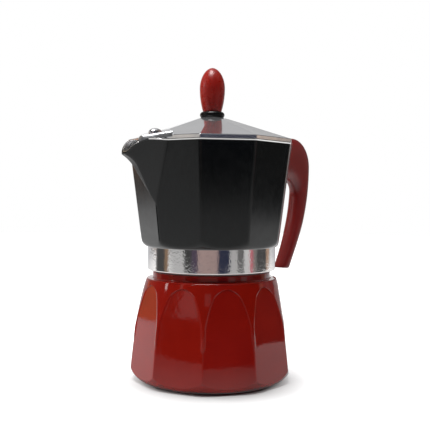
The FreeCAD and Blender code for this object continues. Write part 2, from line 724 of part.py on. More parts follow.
def collector():
    """Upper vessel: collar with its thread, ten leaning walls, a beak, and a tang for the handle."""
    body = body_named("collector")
    sides = s.panel_count
    foot = sketch_on(body, "XY_Plane", wall_low)
    rim = sketch_on(body, "XY_Plane", rim_height)
    lofted(body, "AdditiveLoft", [
        regular_rounded(foot, wall_low_radius, sides, s.wall_edge_round),
        regular_rounded(rim, rim_radius, sides, s.wall_edge_round),
    ])
    foot_top = f"({wall_low} + {s.wall_foot_rise})"
    foot_reach = f"({wall_radius(foot_top)} - {collar_radius})"
    turned(body, "Groove", [
        (collar_radius, wall_low, (
            f"{collar_radius} + {foot_reach} * sin(45)",
            f"{wall_low} + {s.wall_foot_rise} * (1 - cos(45))",
        )),
        (wall_radius(foot_top), foot_top),
        (f"2 * {collar_radius}", foot_top),
        (f"2 * {collar_radius}", collar_low),
        (collar_radius, collar_low),
    ])
    turned(body, "Revolution", [
        ("0", collar_low),
        (f"{collar_radius} - {s.collar_lip}", collar_low, (
            f"{collar_radius} - {s.collar_lip} * (1 - cos(45))",
            f"{collar_low} + {s.collar_lip} * (1 - sin(45))",
        )),
        (collar_radius, f"{collar_low} + {s.collar_lip}"),
        (collar_radius, floor_height),
        ("0", floor_height),
    ])
    lofted(body, "AdditiveLoft", [
        beak_section(body, beak_toe_height, f"({beak_toe_radius} - {s.beak_toe_sink})", "0"),
        beak_section(body, rim_height, beak_wedge_radius, "0"),
    ])
    under_beak = outline(sketch_on(body, "XZ_Plane"), [
        (f"-{beak_toe_radius}", beak_toe_height),
        (f"-{beak_bend_radius}", beak_bend_height, (f"-{beak_curl_radius}", beak_curl_height)),
        (f"-{lip_radius}", lip_height),
        (f"-{lip_radius}", f"{lip_height} + {s.lip_thickness}", (
            f"-{mouth_mid_radius}", mouth_mid_height)),
        (f"-{mouth_start_radius}", rim_height),
        (f"-{mouth_start_radius}", f"{rim_height} + {s.collar_lip}"),
        (f"-{beak_wedge_radius} - {s.cut_overrun}", f"{rim_height} + {s.collar_lip}"),
        (f"-{beak_wedge_radius} - {s.cut_overrun}", beak_toe_height),
    ])
    extruded(body, "Pocket", under_beak, f"4 * {s.beak_rim_half}", both_ways=True)
    tang_end = f"{hinge_radius} + {s.tang_reach}"
    tang_top = f"{rim_height} - {s.tang_top_drop}"
    tang = outline(sketch_on(body, "XZ_Plane"), [
        (wall_low_radius, tang_low),
        (tang_end, tang_low),
        (tang_end, tang_top),
        (wall_low_radius, tang_top),
    ])
    extruded(body, "Pad", tang, f"2 * {s.tang_half}", both_ways=True)
    skin = f"({s.wall_thickness} / cos({half_panel}))"
    above = f"({rim_height} + {s.wall_thickness})"
    lofted(body, "SubtractiveLoft", [
        regular(sketch_on(body, "XY_Plane", height), f"({wall_radius(height)} - {skin})", sides)
        for height in (floor_height, above)
    ])
    lofted(body, "SubtractiveLoft", [
        beak_section(body, height, f"({front})", s.beak_wall) for height, front in (
            (f"({beak_toe_height} + {s.channel_toe_rise})", f"{beak_toe_radius} + {s.channel_toe_step}"),
            (beak_bend_height, f"{beak_bend_radius} - {s.channel_bend_inset}"),
            (f"({beak_curl_height} + {s.channel_curl_rise})", f"{beak_curl_radius} - {s.channel_curl_inset}"),
            (f"({lip_height} + {s.lip_thickness})", f"{lip_radius} - {s.channel_lip_inset}"),
            (above, f"{lip_radius} + {s.channel_top_reach}"),
        )
    ])
    thread_top = f"({flange_top} - {s.thread_relief})"
    spigot = f"({s.column_spigot_radius} + {s.screw_gap} / 2)"
    turned(body, "Groove", [
        ("0", f"{collar_low} - {s.collar_lip}"),
        (collar_bore, f"{collar_low} - {s.collar_lip}"),
        (collar_bore, thread_top),
        (groove_radius, thread_top),
        (groove_radius, flange_top),
        (collar_bore, flange_top),
        (collar_bore, gasket_top),
        (f"{plate_radius} + {s.thread_gap}", gasket_top),
        (f"{plate_radius} + {s.thread_gap}", plate_top),
        (brew_space_radius, plate_top),
        (spigot, f"{plate_top} + {s.brew_space_rise}"),
        (spigot, f"{floor_height} + {s.wall_thickness}"),
        ("0", f"{floor_height} + {s.wall_thickness}"),
    ])
    start = f"({thread_low} - {s.thread_pitch} * (2 + {boiler_angle} / 360))"
    wide = f"({s.thread_root_width} / 2 + {s.thread_gap})"
    narrow = f"({s.thread_crest_width} / 2 + {s.thread_gap})"
    helical(body, "SubtractiveHelix", [
        (s.thread_root_radius, f"{start} - {wide}"),
        (groove_radius, f"{start} - {narrow}"),
        (groove_radius, f"{start} + {narrow}"),
        (s.thread_root_radius, f"{start} + {wide}"),
    ], s.thread_pitch, f"({thread_top} + {s.thread_relief} / 2 - {start}) / {s.thread_pitch}")
    cross = disc(sketch_on(body, "XZ_Plane"), f"{s.handle_screw_radius} + {s.screw_gap} / 2",
                 handle_screw_x, handle_screw_z)
    extruded(body, "Pocket", cross, s.handle_width, both_ways=True)
    return body


def riser_column():
    """Tapered tube pressed into the collector's floor, capped, with a window on each side for the coffee."""
    body = body_named("riser_column")
    low = f"({plate_top} + {s.brew_space_rise})"
    foot_top = f"({floor_height} + {s.column_foot_thickness})"
    turned(body, "Revolution", [
        (s.column_bore_radius, low),
        (s.column_spigot_radius, low),
        (s.column_spigot_radius, floor_height),
        (s.column_foot_radius, floor_height),
        (s.column_foot_radius, foot_top),
        (s.column_top_radius, f"{column_height} - {s.column_cap}"),
        ("0", column_height),
        ("0", f"{column_height} - {s.column_cap}"),
        (s.column_bore_radius, f"{column_height} - 2 * {s.column_cap}"),
    ])
    window_top = f"({column_height} - 2 * {s.column_cap})"
    window = outline(sketch_on(body, "XZ_Plane"), [
        (f"-{s.column_window_half}", f"{window_top} - {s.column_window_height}"),
        (s.column_window_half, f"{window_top} - {s.column_window_height}"),
        (s.column_window_half, window_top),
        (f"-{s.column_window_half}", window_top),
    ])
    extruded(body, "Pocket", window, f"4 * {s.column_foot_radius}", both_ways=True)
    return body


def lid():
    """Ten-sided lid: spout cover, band and pyramid, hollow below, with a hinge knuckle."""
    body = body_named("lid")
    sides = s.panel_count
    cover_tip = f"({rim_radius} + {s.cover_tip_reach})"
    cover_base = f"({rim_radius} - {s.cover_base_inset})"
    cover_root = f"({rim_radius} - {s.cover_root_inset})"
    channel_end = f"({cover_tip} - {s.cover_channel_inset})"
    boss_radius = f"({rim_radius} - {s.boss_inset})"

    def roof(radius):
        slope = f"({s.cover_base_rise} + {s.cover_tip_drop}) / ({s.cover_tip_reach} + {s.cover_base_inset})"
        return f"({band_top} + {s.cover_base_rise} - {slope} * ({radius} - {cover_base}))"

    cover = outline(sketch_on(body, "XY_Plane", rim_height), [
        (f"-{cover_tip}", s.cover_tip_half),
        (f"-{cover_tip}", f"-{s.cover_tip_half}"),
        (f"-{cover_base}", f"-{s.cover_base_half}"),
        (f"-{cover_root}", "0"),
        (f"-{cover_base}", s.cover_base_half),
    ])
    extruded(body, "Pad", cover, f"{lid_top} - {rim_height}")
    past_tip = f"({cover_tip} + {s.cut_overrun})"
    past_root = f"({cover_root} - {s.cut_overrun})"
    over_roof = outline(sketch_on(body, "XZ_Plane"), [
        (f"-{past_tip}", roof(past_tip)),
        (f"-{past_root}", roof(past_root)),
        (f"-{past_root}", f"{lid_top} + {s.cut_overrun}"),
        (f"-{past_tip}", f"{lid_top} + {s.cut_overrun}"),
    ])
    extruded(body, "Pocket", over_roof, f"4 * {s.cover_base_half}", both_ways=True)
    band = regular(sketch_on(body, "XY_Plane", rim_height), lid_radius, sides)
    extruded(body, "Pad", band, s.lid_band)
    lofted(body, "AdditiveLoft", [
        regular(sketch_on(body, "XY_Plane", band_top), lid_radius, sides),
        regular(sketch_on(body, "XY_Plane", lid_top), s.lid_top_radius, sides),
    ])
    boss = body.newObject("PartDesign::AdditiveEllipsoid", "cover_boss")
    boss.setExpression("Radius1", s.boss_rise)
    boss.setExpression("Radius2", s.boss_length)
    boss.setExpression("Radius3", s.boss_half)
    boss.Angle1 = -90
    boss.Angle2 = 90
    boss.Placement = Placement(Vector(-number(boss_radius), 0, number(roof(boss_radius))), Rotation())
    knuckle = outline(sketch_on(body, "XZ_Plane"), [
        (f"{lid_radius} - {s.lid_seat}", rim_height),
        (f"{hinge_radius} - 2 * {s.knuckle_radius}", rim_height),
        (hinge_radius, f"{hinge_height} - {s.knuckle_radius}", (
            f"{hinge_radius} + {s.knuckle_radius}", hinge_height)),
        (hinge_radius, f"{hinge_height} + {s.knuckle_radius}"),
        (f"{lid_radius} - {s.lid_seat}", band_top),
    ])
    extruded(body, "Pad", knuckle, f"2 * ({s.tang_half} - {s.knuckle_gap})", both_ways=True)
    lofted(body, "SubtractiveLoft", [
        regular(sketch_on(body, "XY_Plane", f"{rim_height}"), f"({lid_radius} - {s.lid_seat})", sides),
        regular(sketch_on(body, "XY_Plane", f"{lid_top} - {s.lid_skin}"), s.lid_top_radius, sides),
    ])
    channel = outline(sketch_on(body, "XZ_Plane"), [
        (f"-{channel_end}", f"{rim_height} - {s.lid_band}"),
        (f"-{channel_end}", f"{roof(channel_end)} - {s.cover_skin}"),
        (f"-{cover_root}", f"{roof(cover_base)} - {s.cover_skin}"),
        (f"-{cover_root}", f"{rim_height} - {s.lid_band}"),
    ])
    extruded(body, "Pocket", channel, f"2 * {s.cover_channel_half}", both_ways=True)
    hinge = disc(sketch_on(body, "XZ_Plane"), f"{s.hinge_pin_radius} + {s.hinge_pin_gap}",
                 hinge_radius, hinge_height)
    extruded(body, "Pocket", hinge, s.handle_width, both_ways=True)
    screw = disc(sketch_on(body, "XY_Plane", lid_top), f"{s.screw_radius} + {s.screw_gap}")
    extruded(body, "Pocket", screw, f"2 * {s.lid_skin}")
    return body


def knob_collar():
    """Black collar washer between lid and knob: a short skirt under a bulging ring."""
    body = body_named("knob_collar")
    hole = f"({s.screw_radius} + {s.screw_gap})"
    skirt_top = f"({lid_top} + {s.knob_collar_skirt_thickness})"
    turned(body, "Revolution", [
        (hole, lid_top),
        (s.knob_collar_skirt, lid_top),
        (s.knob_collar_skirt, skirt_top, (s.knob_collar_radius, f"({skirt_top} + {knob_collar_top}) / 2")),
        (s.knob_collar_top_radius, knob_collar_top),
        (hole, knob_collar_top),
    ])
    return body


def lid_knob():
    """Red egg-shaped knob: a swelling foot, a crown arc and a round tip, with a blind hole for its insert."""
    body = body_named("lid_knob")
    low = knob_collar_top
    wide = f"({low} + {s.knob_radius_rise})"
    tip_centre = f"({low} + {s.knob_height} - {s.knob_tip_radius})"
    climb = f"({tip_centre} - {wide})"
    crown = (f"(({s.knob_radius}^2 + {climb}^2 - {s.knob_tip_radius}^2)"
             f" / (2 * ({s.knob_radius} - {s.knob_tip_radius})))")
    swing = f"(atan({climb} / ({crown} - {s.knob_radius})))"
    tip_swing = f"(({swing} + 90 deg) / 2)"
    turned(body, "Revolution", [
        (f"{s.insert_radius} + {s.screw_gap} / 2", low),
        (s.knob_foot_radius, low, (s.knob_low_radius, f"{low} + {s.knob_low_rise}")),
        (s.knob_radius, wide, (
            f"{s.knob_radius} - {crown} * (1 - cos({swing} / 2))",
            f"{wide} + {crown} * sin({swing} / 2)",
        )),
        (f"{s.knob_tip_radius} * cos({swing})", f"{tip_centre} + {s.knob_tip_radius} * sin({swing})", (
            f"{s.knob_tip_radius} * cos({tip_swing})",
            f"{tip_centre} + {s.knob_tip_radius} * sin({tip_swing})",
        )),
        ("0", f"{low} + {s.knob_height}"),
        ("0", f"{low} + {s.insert_length} + {s.screw_gap}"),
        (f"{s.insert_radius} + {s.screw_gap} / 2", f"{low} + {s.insert_length} + {s.screw_gap}"),
    ])
    return body


def knob_insert():
    """Brass insert moulded into the knob, bored for the screw."""
    body = body_named("knob_insert")
    ring = disc(sketch_on(body, "XY_Plane", knob_collar_top), s.insert_radius)
    disc(ring, f"{s.screw_radius} + {s.screw_gap} / 2")
    extruded(body, "Pad", ring, s.insert_length)
    return body


def screw_washer():
    """Plain washer under the head of the knob screw."""
    body = body_named("screw_washer")
    low = f"({lid_top} - {s.lid_skin} - {s.screw_washer_thickness})"
    ring = disc(sketch_on(body, "XY_Plane", low), s.screw_washer_radius)
    disc(ring, f"{s.screw_radius} + {s.screw_gap}")
    extruded(body, "Pad", ring, s.screw_washer_thickness)
    return body


def knob_screw():
    """Round-headed screw from inside the lid up into the insert, with a slotted head."""
    body = body_named("knob_screw")
    head_top = f"({lid_top} - {s.lid_skin} - {s.screw_washer_thickness})"
    head_low = f"({head_top} - {s.screw_head_thickness})"
    tip = f"({knob_collar_top} + {s.screw_bite})"
    turned(body, "Revolution", [
        ("0", head_low),
        (s.screw_head_flat_radius, head_low, (
            s.screw_head_dome_radius, f"{head_low} + {s.screw_head_dome_rise}")),
        (s.screw_head_radius, head_top),
        (s.screw_radius, head_top),
        (s.screw_radius, tip),
        ("0", tip),
    ])
    slot = outline(sketch_on(body, "XZ_Plane"), [
        (f"-{s.screw_slot_half}", f"{head_low} - {s.screw_slot_depth}"),
        (s.screw_slot_half, f"{head_low} - {s.screw_slot_depth}"),
        (s.screw_slot_half, f"{head_low} + {s.screw_slot_depth}"),
        (f"-{s.screw_slot_half}", f"{head_low} + {s.screw_slot_depth}"),
    ])
    extruded(body, "Pocket", slot, f"4 * {s.screw_head_radius}", both_ways=True)
    return body


def handle():
    """Red moulded handle: a forked arm on the tang that bends down into a tapering grip."""
    body = body_named("handle")
    top = f"({hinge_height} + {s.handle_knuckle})"
    knuckle_inner = f"({hinge_radius} - {s.handle_knuckle})"
    corner = f"({hinge_radius} + {s.handle_top_reach})"
    tail_outer = f"({hinge_radius} + {s.handle_tail_outer_reach})"
    tail_inner = f"({hinge_radius} + {s.handle_tail_inner_reach})"
    web = f"({hinge_radius} + {s.handle_web_reach})"
    web_height = f"({hinge_height} - {s.handle_web_drop})"
    heel = f"({hinge_radius} - {s.handle_heel_inset})"
    side = outline(sketch_on(body, "XZ_Plane"), [
        (hinge_radius, top),
        (corner, top, "tangent"),
        (f"{corner} + {s.handle_corner}", f"{top} - {s.handle_corner}", "tangent"),
        (tail_outer, f"{hinge_height} - {s.handle_tail_outer_drop}", "tangent"),
        (tail_inner, f"{hinge_height} - {s.handle_tail_inner_drop}", "tangent"),
        (web, web_height),
        (heel, web_height),
        (knuckle_inner, rim_height),
        (knuckle_inner, hinge_height, (
            f"{hinge_radius} - {s.handle_knuckle} * sin(45)",
            f"{hinge_height} + {s.handle_knuckle} * cos(45)",
        )),
    ])
    extruded(body, "Pad", side, s.handle_width, both_ways=True)
    half = number(s.handle_width) / 2
    touch = 0.01

    def crosswise(x, z):
        return lambda edge: edge.BoundBox.YLength > half and edge.CenterOfMass.distanceToPoint(
            Vector(number(x), 0, number(z))) < touch

    rounded(body, s.handle_web_round, crosswise(web, web_height))
    rounded(body, s.handle_round, crosswise(heel, web_height))
    rounded(body, s.handle_round, crosswise(knuckle_inner, rim_height))
    rounded(body, s.handle_round, lambda edge: edge.BoundBox.YLength < touch
            and abs(abs(edge.BoundBox.YMax) - half) < touch)
    slot_half = f"({s.tang_half} + {s.handle_slot_gap})"
    slot_end = f"{hinge_radius} + {s.handle_slot_reach}"
    slot = outline(sketch_on(body, "XZ_Plane"), [
        (wall_low_radius, f"{tang_low} - {s.handle_corner}"),
        (slot_end, f"{tang_low} - {s.handle_corner}"),
        (slot_end, f"{top} + {s.handle_round}"),
        (wall_low_radius, f"{top} + {s.handle_round}"),
    ])
    extruded(body, "Pocket", slot, f"2 * {slot_half}", both_ways=True)
    pin = disc(sketch_on(body, "XZ_Plane"), f"{s.hinge_pin_radius} + {s.hinge_pin_gap} / 2",
               hinge_radius, hinge_height)
    extruded(body, "Pocket", pin, f"2 * {s.handle_width}", both_ways=True)
    cross = disc(sketch_on(body, "XZ_Plane"), f"{s.handle_screw_radius} + {s.screw_gap} / 2",
                 handle_screw_x, handle_screw_z)
    extruded(body, "Pocket", cross, f"2 * {s.handle_width}", both_ways=True)
    head = disc(sketch_on(body, "XZ_Plane", f"-{s.handle_width} / 2"),
                f"{s.handle_screw_head_radius} + {s.screw_gap}", handle_screw_x, handle_screw_z)
    sunk = extruded(body, "Pocket", head, s.handle_screw_head_thickness)
    sunk.Reversed = True
    return body


def hinge_pin():
    """Steel pin of the lid's hinge, held in the handle's fork."""
    body = body_named("hinge_pin")
    pin = disc(sketch_on(body, "XZ_Plane"), s.hinge_pin_radius, hinge_radius, hinge_height)
    extruded(body, "Pad", pin, f"{s.handle_width} - 2 * {loose}", both_ways=True)
    return body


def handle_screw():
    """Screw across the fork and the tang, with its slotted head sunk in one cheek."""
    body = body_named("handle_screw")
    head_reach = f"({s.handle_width} / 2 - {s.handle_screw_head_thickness})"
    shank = disc(sketch_on(body, "XZ_Plane", f"-{head_reach}"), s.handle_screw_radius,
                 handle_screw_x, handle_screw_z)
    extruded(body, "Pad", shank, f"{head_reach} + {s.handle_width} / 2 - {loose}")
    head = disc(sketch_on(body, "XZ_Plane", f"-{head_reach}"), s.handle_screw_head_radius,
                handle_screw_x, handle_screw_z)
    cap = extruded(body, "Pad", head, f"{s.handle_screw_head_thickness} - {loose}")
    cap.Reversed = True
    slot_low = f"({handle_screw_z} - {s.screw_slot_half})"
    slot_reach = f"({s.handle_screw_head_radius} + {s.cut_overrun})"
    slot = outline(sketch_on(body, "XZ_Plane", f"-{s.handle_width} / 2"), [
        (f"{handle_screw_x} - {slot_reach}", slot_low),
        (f"{handle_screw_x} + {slot_reach}", slot_low),
        (f"{handle_screw_x} + {slot_reach}", f"{slot_low} + 2 * {s.screw_slot_half}"),
        (f"{handle_screw_x} - {slot_reach}", f"{slot_low} + 2 * {s.screw_slot_half}"),
    ])
    cut = extruded(body, "Pocket", slot, s.screw_slot_depth)
    cut.Reversed = True
    return body


pieces = [
    boiler(),
    safety_valve_washer(),
    safety_valve_body(),
    safety_valve_stem(),
    safety_valve_spring(),
    safety_valve_cap(),
    funnel(),
    funnel_sieve(),
    gasket(),
    sieve_plate(),
    collector(),
    riser_column(),
    handle(),
    handle_screw(),
    hinge_pin(),
    lid(),
    knob_collar(),
    lid_knob(),
    knob_insert(),
    screw_washer(),
    knob_screw(),
]
doc.recompute()

for item in doc.Objects:
    if "Invalid" in item.State or "Error" in item.State:
        raise RuntimeError(f"{item.Label} did not rebuild: {item.State}")
for piece in pieces:
    if piece.Shape.isNull() or not piece.Shape.isValid() or len(piece.Shape.Solids) != 1:
        raise RuntimeError(f"{piece.Label} is not one valid solid")

os.makedirs("parts", exist_ok=True)
for piece in pieces:
    piece.Shape.exportStep(f"parts/{piece.Label}.step")
    print(f"{piece.Label}: {piece.Shape.Volume:.1f} mm3")
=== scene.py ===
import math

import bmesh
import bpy
import numpy as np
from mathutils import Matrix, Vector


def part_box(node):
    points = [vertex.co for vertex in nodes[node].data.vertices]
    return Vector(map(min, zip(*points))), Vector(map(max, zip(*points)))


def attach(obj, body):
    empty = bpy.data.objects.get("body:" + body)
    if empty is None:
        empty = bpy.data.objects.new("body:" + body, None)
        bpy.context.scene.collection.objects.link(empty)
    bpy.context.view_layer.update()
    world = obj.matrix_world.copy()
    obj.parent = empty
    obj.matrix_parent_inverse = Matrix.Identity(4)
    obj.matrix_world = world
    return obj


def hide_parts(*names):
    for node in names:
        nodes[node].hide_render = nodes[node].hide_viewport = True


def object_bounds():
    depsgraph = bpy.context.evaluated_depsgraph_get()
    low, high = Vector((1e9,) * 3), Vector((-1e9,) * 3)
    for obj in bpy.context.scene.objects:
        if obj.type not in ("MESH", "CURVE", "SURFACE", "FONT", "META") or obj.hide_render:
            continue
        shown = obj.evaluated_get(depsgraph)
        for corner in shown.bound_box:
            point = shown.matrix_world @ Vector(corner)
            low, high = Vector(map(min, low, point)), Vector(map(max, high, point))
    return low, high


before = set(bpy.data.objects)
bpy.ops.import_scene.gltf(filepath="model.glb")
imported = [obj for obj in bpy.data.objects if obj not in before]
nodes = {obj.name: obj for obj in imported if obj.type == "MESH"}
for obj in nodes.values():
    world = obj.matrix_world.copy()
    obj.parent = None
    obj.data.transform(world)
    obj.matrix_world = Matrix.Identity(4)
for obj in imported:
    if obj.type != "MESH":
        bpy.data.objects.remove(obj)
cad_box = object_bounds()

# Boiler: the pot's water vessel, cast in aluminium and sprayed gloss red outside, bare inside and
# underneath. Ten slightly bowed panels cut its bellied form into arches, and the neck that the
# collector screws onto stands on its shoulder.
MM = 0.001
WELD = MM / 5000
SIDES = 10
HALF_PANEL = math.pi / SIDES
PANEL_STEP = 2 * HALF_PANEL
CREASE = 40
NOISE_RANGE = (0.3, 0.7)
MOTTLE, FINE_MOTTLE = 45.0, 270.0


def extent(node):
    """Lowest and highest corner of a CAD node, in millimetres."""
    return [np.array(corner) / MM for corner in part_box(node)]


def softened_min(one, other, soft):
    """Lower of two arrays, rounded off by a parabola where they come within soft of each other."""
    near = np.clip(1 - np.abs(one - other) / soft, 0, None)
    return np.minimum(one, other) - soft * near**2 / 4


def softened_max(one, other, soft):
    """Higher of two arrays, filled in by a parabola where they come within soft of each other."""
    return -softened_min(-one, -other, soft)


def bowed(along, *points):
    """Circle through three (across, along) points: its across value at each along value."""
    (x1, y1), (x2, y2), (x3, y3) = points
    sides = np.array([[x2 - x1, y2 - y1], [x3 - x1, y3 - y1]])
    squares = np.array([x2**2 - x1**2 + y2**2 - y1**2, x3**2 - x1**2 + y3**2 - y1**2])
    centre_x, centre_y = np.linalg.solve(2 * sides, squares)
    square = (x1 - centre_x)**2 + (y1 - centre_y)**2 - (along - centre_y)**2
    return centre_x + np.sign(x2 - centre_x) * np.sqrt(np.clip(square, 0, None))


def quarter(count):
    """Angles over a quarter turn."""
    return np.linspace(0, 1, count) * math.pi / 2


def full_turn(count):
    """Angles round a full turn, whose end is left to the first of them."""
    return np.linspace(0, math.tau, count, endpoint=False)


def polygon_reach(apothem, off_middle, soft):
    """Reach of a ten-sided outline at an angle off the middle of its side: apothem over cosine, with
    each corner softened against the next side."""
    here = apothem / np.cos(off_middle)
    beyond = apothem / np.cos(PANEL_STEP - np.abs(off_middle))
    return softened_min(here, beyond, soft)


def column(values):
    """Array turned into a column, so that it spreads over the angles."""
    return np.asarray(values, float)[:, None]


def points_of(*values):
    """Points from their coordinates, each spread over the others."""
    return np.stack(np.broadcast_arrays(*values), axis=-1)


def around_axis(radii, heights, angles):
    """Grid of points about the pot's axis: a row of radii and heights for each ring of angles."""
    return points_of(radii * np.cos(angles), radii * np.sin(angles), heights)


def turned(bands):
    """Sheet of rings about the pot's axis with the finish at each point, from bands of radii, heights,
    angles and a finish that follow one another."""
    grids = [around_axis(radii, heights, angles) for radii, heights, angles, _ in bands]
    finishes = [np.broadcast_to(band[3], grid.shape[:2]) for grid, band in zip(grids, bands)]
    return np.concatenate(grids), np.concatenate(finishes)


def profile(*points):
    """Radii and heights of a turned outline, as two columns."""
    return [column(values) for values in np.array(points, float).T]


def skin(name, sheets, finishes, looped=False, crease=CREASE):
    """Mesh piece from sheets of points in millimetres with the finish at each point.

    A sheet is a grid whose rows are closed rings, each joined to the next. A row that shrinks to one
    point closes a pole, and looped joins the first sheet's last ring to its first. Edges that turn by
    more than the crease, in degrees, stay sharp.
    """
    points = []
    faces = []
    paints = []
    start = 0
    for grid, paint in sheets:
        rows, spokes = grid.shape[:2]
        index = start + np.arange(rows * spokes).reshape(rows, spokes)
        joined = looped and start == 0
        low = index if joined else index[:-1]
        high = np.roll(index, -1, axis=0) if joined else index[1:]
        faces.append(points_of(low, np.roll(low, -1, 1), np.roll(high, -1, 1), high).reshape(-1, 4))
        paints.append(np.broadcast_to(paint, (rows, spokes))[:len(low)].ravel())
        points.append(grid.reshape(-1, 3))
        start += rows * spokes
    mesh = bpy.data.meshes.new(name)
    mesh.from_pydata(np.concatenate(points) * MM, [], np.concatenate(faces).tolist())
    for finish in finishes:
        mesh.materials.append(finish)
    mesh.polygons.foreach_set("material_index", np.concatenate(paints).astype(np.int32))
    welded = bmesh.new()
    welded.from_mesh(mesh)
    bmesh.ops.remove_doubles(welded, verts=welded.verts, dist=WELD)
    welded.to_mesh(mesh)
    welded.free()
    mesh.shade_smooth()
    mesh.set_sharp_from_angle(angle=math.radians(crease))
    piece = bpy.data.objects.new(name, mesh)
    bpy.context.scene.collection.objects.link(piece)
    return piece


def wire(tree, kind, sockets, **choices):
    """New shader node: sockets takes constants or other nodes' outputs, choices its own settings."""
    node = tree.nodes.new(f"ShaderNode{kind}")
    for choice, value in choices.items():
        setattr(node, choice, value)
    for socket, value in sockets.items():
        if isinstance(value, bpy.types.NodeSocket):
            tree.links.new(value, node.inputs[socket])
        else:
            node.inputs[socket].default_value = value
    return node


def carried(tree, value, source, target=(0, 1)):
    """Value carried over from one range to another, and held at its ends."""
    return wire(tree, "MapRange", {"Value": value, "From Min": source[0], "From Max": source[1],
                                   "To Min": target[0], "To Max": target[1]}).outputs["Result"]


def mixed(tree, share, one, other):
    """Colour that goes from one to the other as the share rises from 0 to 1."""
    return wire(tree, "Mix", {0: share, 6: one, 7: other}, data_type="RGBA").outputs[2]


def cloud(tree, place, lumps, detail, stretch=None):
    """Noise of so many lumps to the metre, squeezed along an axis where stretch gives three factors."""
    if stretch is not None:
        place = wire(tree, "Mapping", {"Vector": place, "Scale": stretch}).outputs["Vector"]
    return wire(tree, "TexNoise", {"Vector": place, "Scale": lumps, "Detail": detail}).outputs["Fac"]


def dress(name, shades, gloss, grains, constants=None):
    """Finish with mottled colour, uneven gloss and one or more grains.

    shades are its two colours and gloss its lowest and highest roughness. A grain gives the lumps to
    the metre, the height in millimetres and, where it runs one way, how it is squeezed along each axis.
    """
    material = bpy.data.materials.new(name)
    material.use_nodes = True
    tree = material.node_tree
    tree.nodes.clear()
    shader = wire(tree, "BsdfPrincipled", constants or {})
    wire(tree, "OutputMaterial", {"Surface": shader.outputs["BSDF"]})
    place = wire(tree, "TexCoord", {}).outputs["Object"]
    patches = carried(tree, cloud(tree, place, MOTTLE, detail=4.0), NOISE_RANGE)
    tint = mixed(tree, patches, (*shades[0], 1), (*shades[1], 1))
    tree.links.new(tint, shader.inputs["Base Color"])
    uneven = carried(tree, cloud(tree, place, FINE_MOTTLE, detail=3.0), NOISE_RANGE, gloss)
    tree.links.new(uneven, shader.inputs["Roughness"])
    lie = None
    for lumps, height, *stretch in grains:
        texture = cloud(tree, place, lumps, 1.0, *stretch)
        relief = wire(tree, "Bump", {"Height": texture, "Distance": height * MM, "Strength": 1.0})
        if lie is not None:
            tree.links.new(lie, relief.inputs["Normal"])
        lie = relief.outputs["Normal"]
    tree.links.new(lie, shader.inputs["Normal"])
    return material


boiler_paint = dress("boiler_paint", [(0.150, 0.0032, 0.0009), (0.180, 0.0050, 0.0018)], (0.03, 0.07),
                     [(330.0, 0.016), (1400.0, 0.003)], constants={"Specular IOR Level": 0.42})
boiler_bare = dress("boiler_bare", [(0.55, 0.55, 0.54), (0.66, 0.66, 0.65)], (0.35, 0.5),
                    [(1600.0, 0.02)], constants={"Metallic": 1.0})

neck_top = extent("boiler")[1][2]
first_panel = math.radians(20)
foot_radius, foot_edge = 37.4, 1.5
belly, waist, shoulder = (46.1, 9.4), (43.4, 29.0), (36.85, 55.5)
panel_low, panel_mid, panel_high = (44.2, 0.0), (41.6, 26.0), (37.05, 54.3)
panel_edge, corner_edge = 0.10, 0.35
panel_step, step_width, step_low = 0.17, 0.6, 22.0
arch_spring, arch_apex, arch_fullness = 30.0, 53.4, 2.6
arch_least, arch_most, arch_plain = math.radians(0.4), math.radians(17.5), math.radians(14)
crowd_in_arch, crowd_beside_arch, crowd_upwards = 1.7, 1.5, 1.6
shoulder_round, bead_radius, bead_top, bead_round, bead_fillet = 0.7, 33.1, 59.9, 0.6, 0.9
shoulder_top = shoulder[1] + shoulder_round
thread_root, thread_depth, thread_pitch, thread_start = 31.6, 1.1, 3.0, 62.4
thread_root_half, thread_crest_half = 0.85, 0.35
thread_fade, fade_from, thread_clear = 1.2, 0.6, 0.2
neck_bore, rim_round, boiler_floor = 28.2, 0.5, 3.6
neck_inside = [(neck_bore, neck_top - rim_round), (neck_bore, 60.0), (neck_bore, 53.8),
               (neck_bore + 0.4, 53.2)]
wall_inside = [(34.0, 50.4), (34.3, 49.8), (36.6, 37.0), (38.6, 26.0), (40.2, 14.0), (40.4, 9.4), (39.4, 6.2)]
floor_inside = [(36.6, boiler_floor + 0.1), (35.0, boiler_floor), (20.0, boiler_floor), (0.0, boiler_floor)]

stations = np.concatenate([np.linspace(-2, -1, 6)[:-1], np.linspace(-1, 1, 25), np.linspace(1, 2, 6)[1:-1]])
panel_middles = first_panel + PANEL_STEP * np.repeat(np.arange(SIDES), len(stations))


def panel_spokes(arch_half):
    """Angles off the middle of each panel, crowded towards the edge of its arch, which lies arch_half
    off the middle, and then spread over the strip between two arches."""
    within_arch = 1 - (1 - np.clip(np.abs(stations), 0, 1))**crowd_in_arch
    beside_arch = np.clip(np.abs(stations) - 1, 0, 1)**crowd_beside_arch
    off_middle = np.sign(stations) * (arch_half * within_arch + (HALF_PANEL - arch_half) * beside_arch)
    return np.tile(off_middle, SIDES)


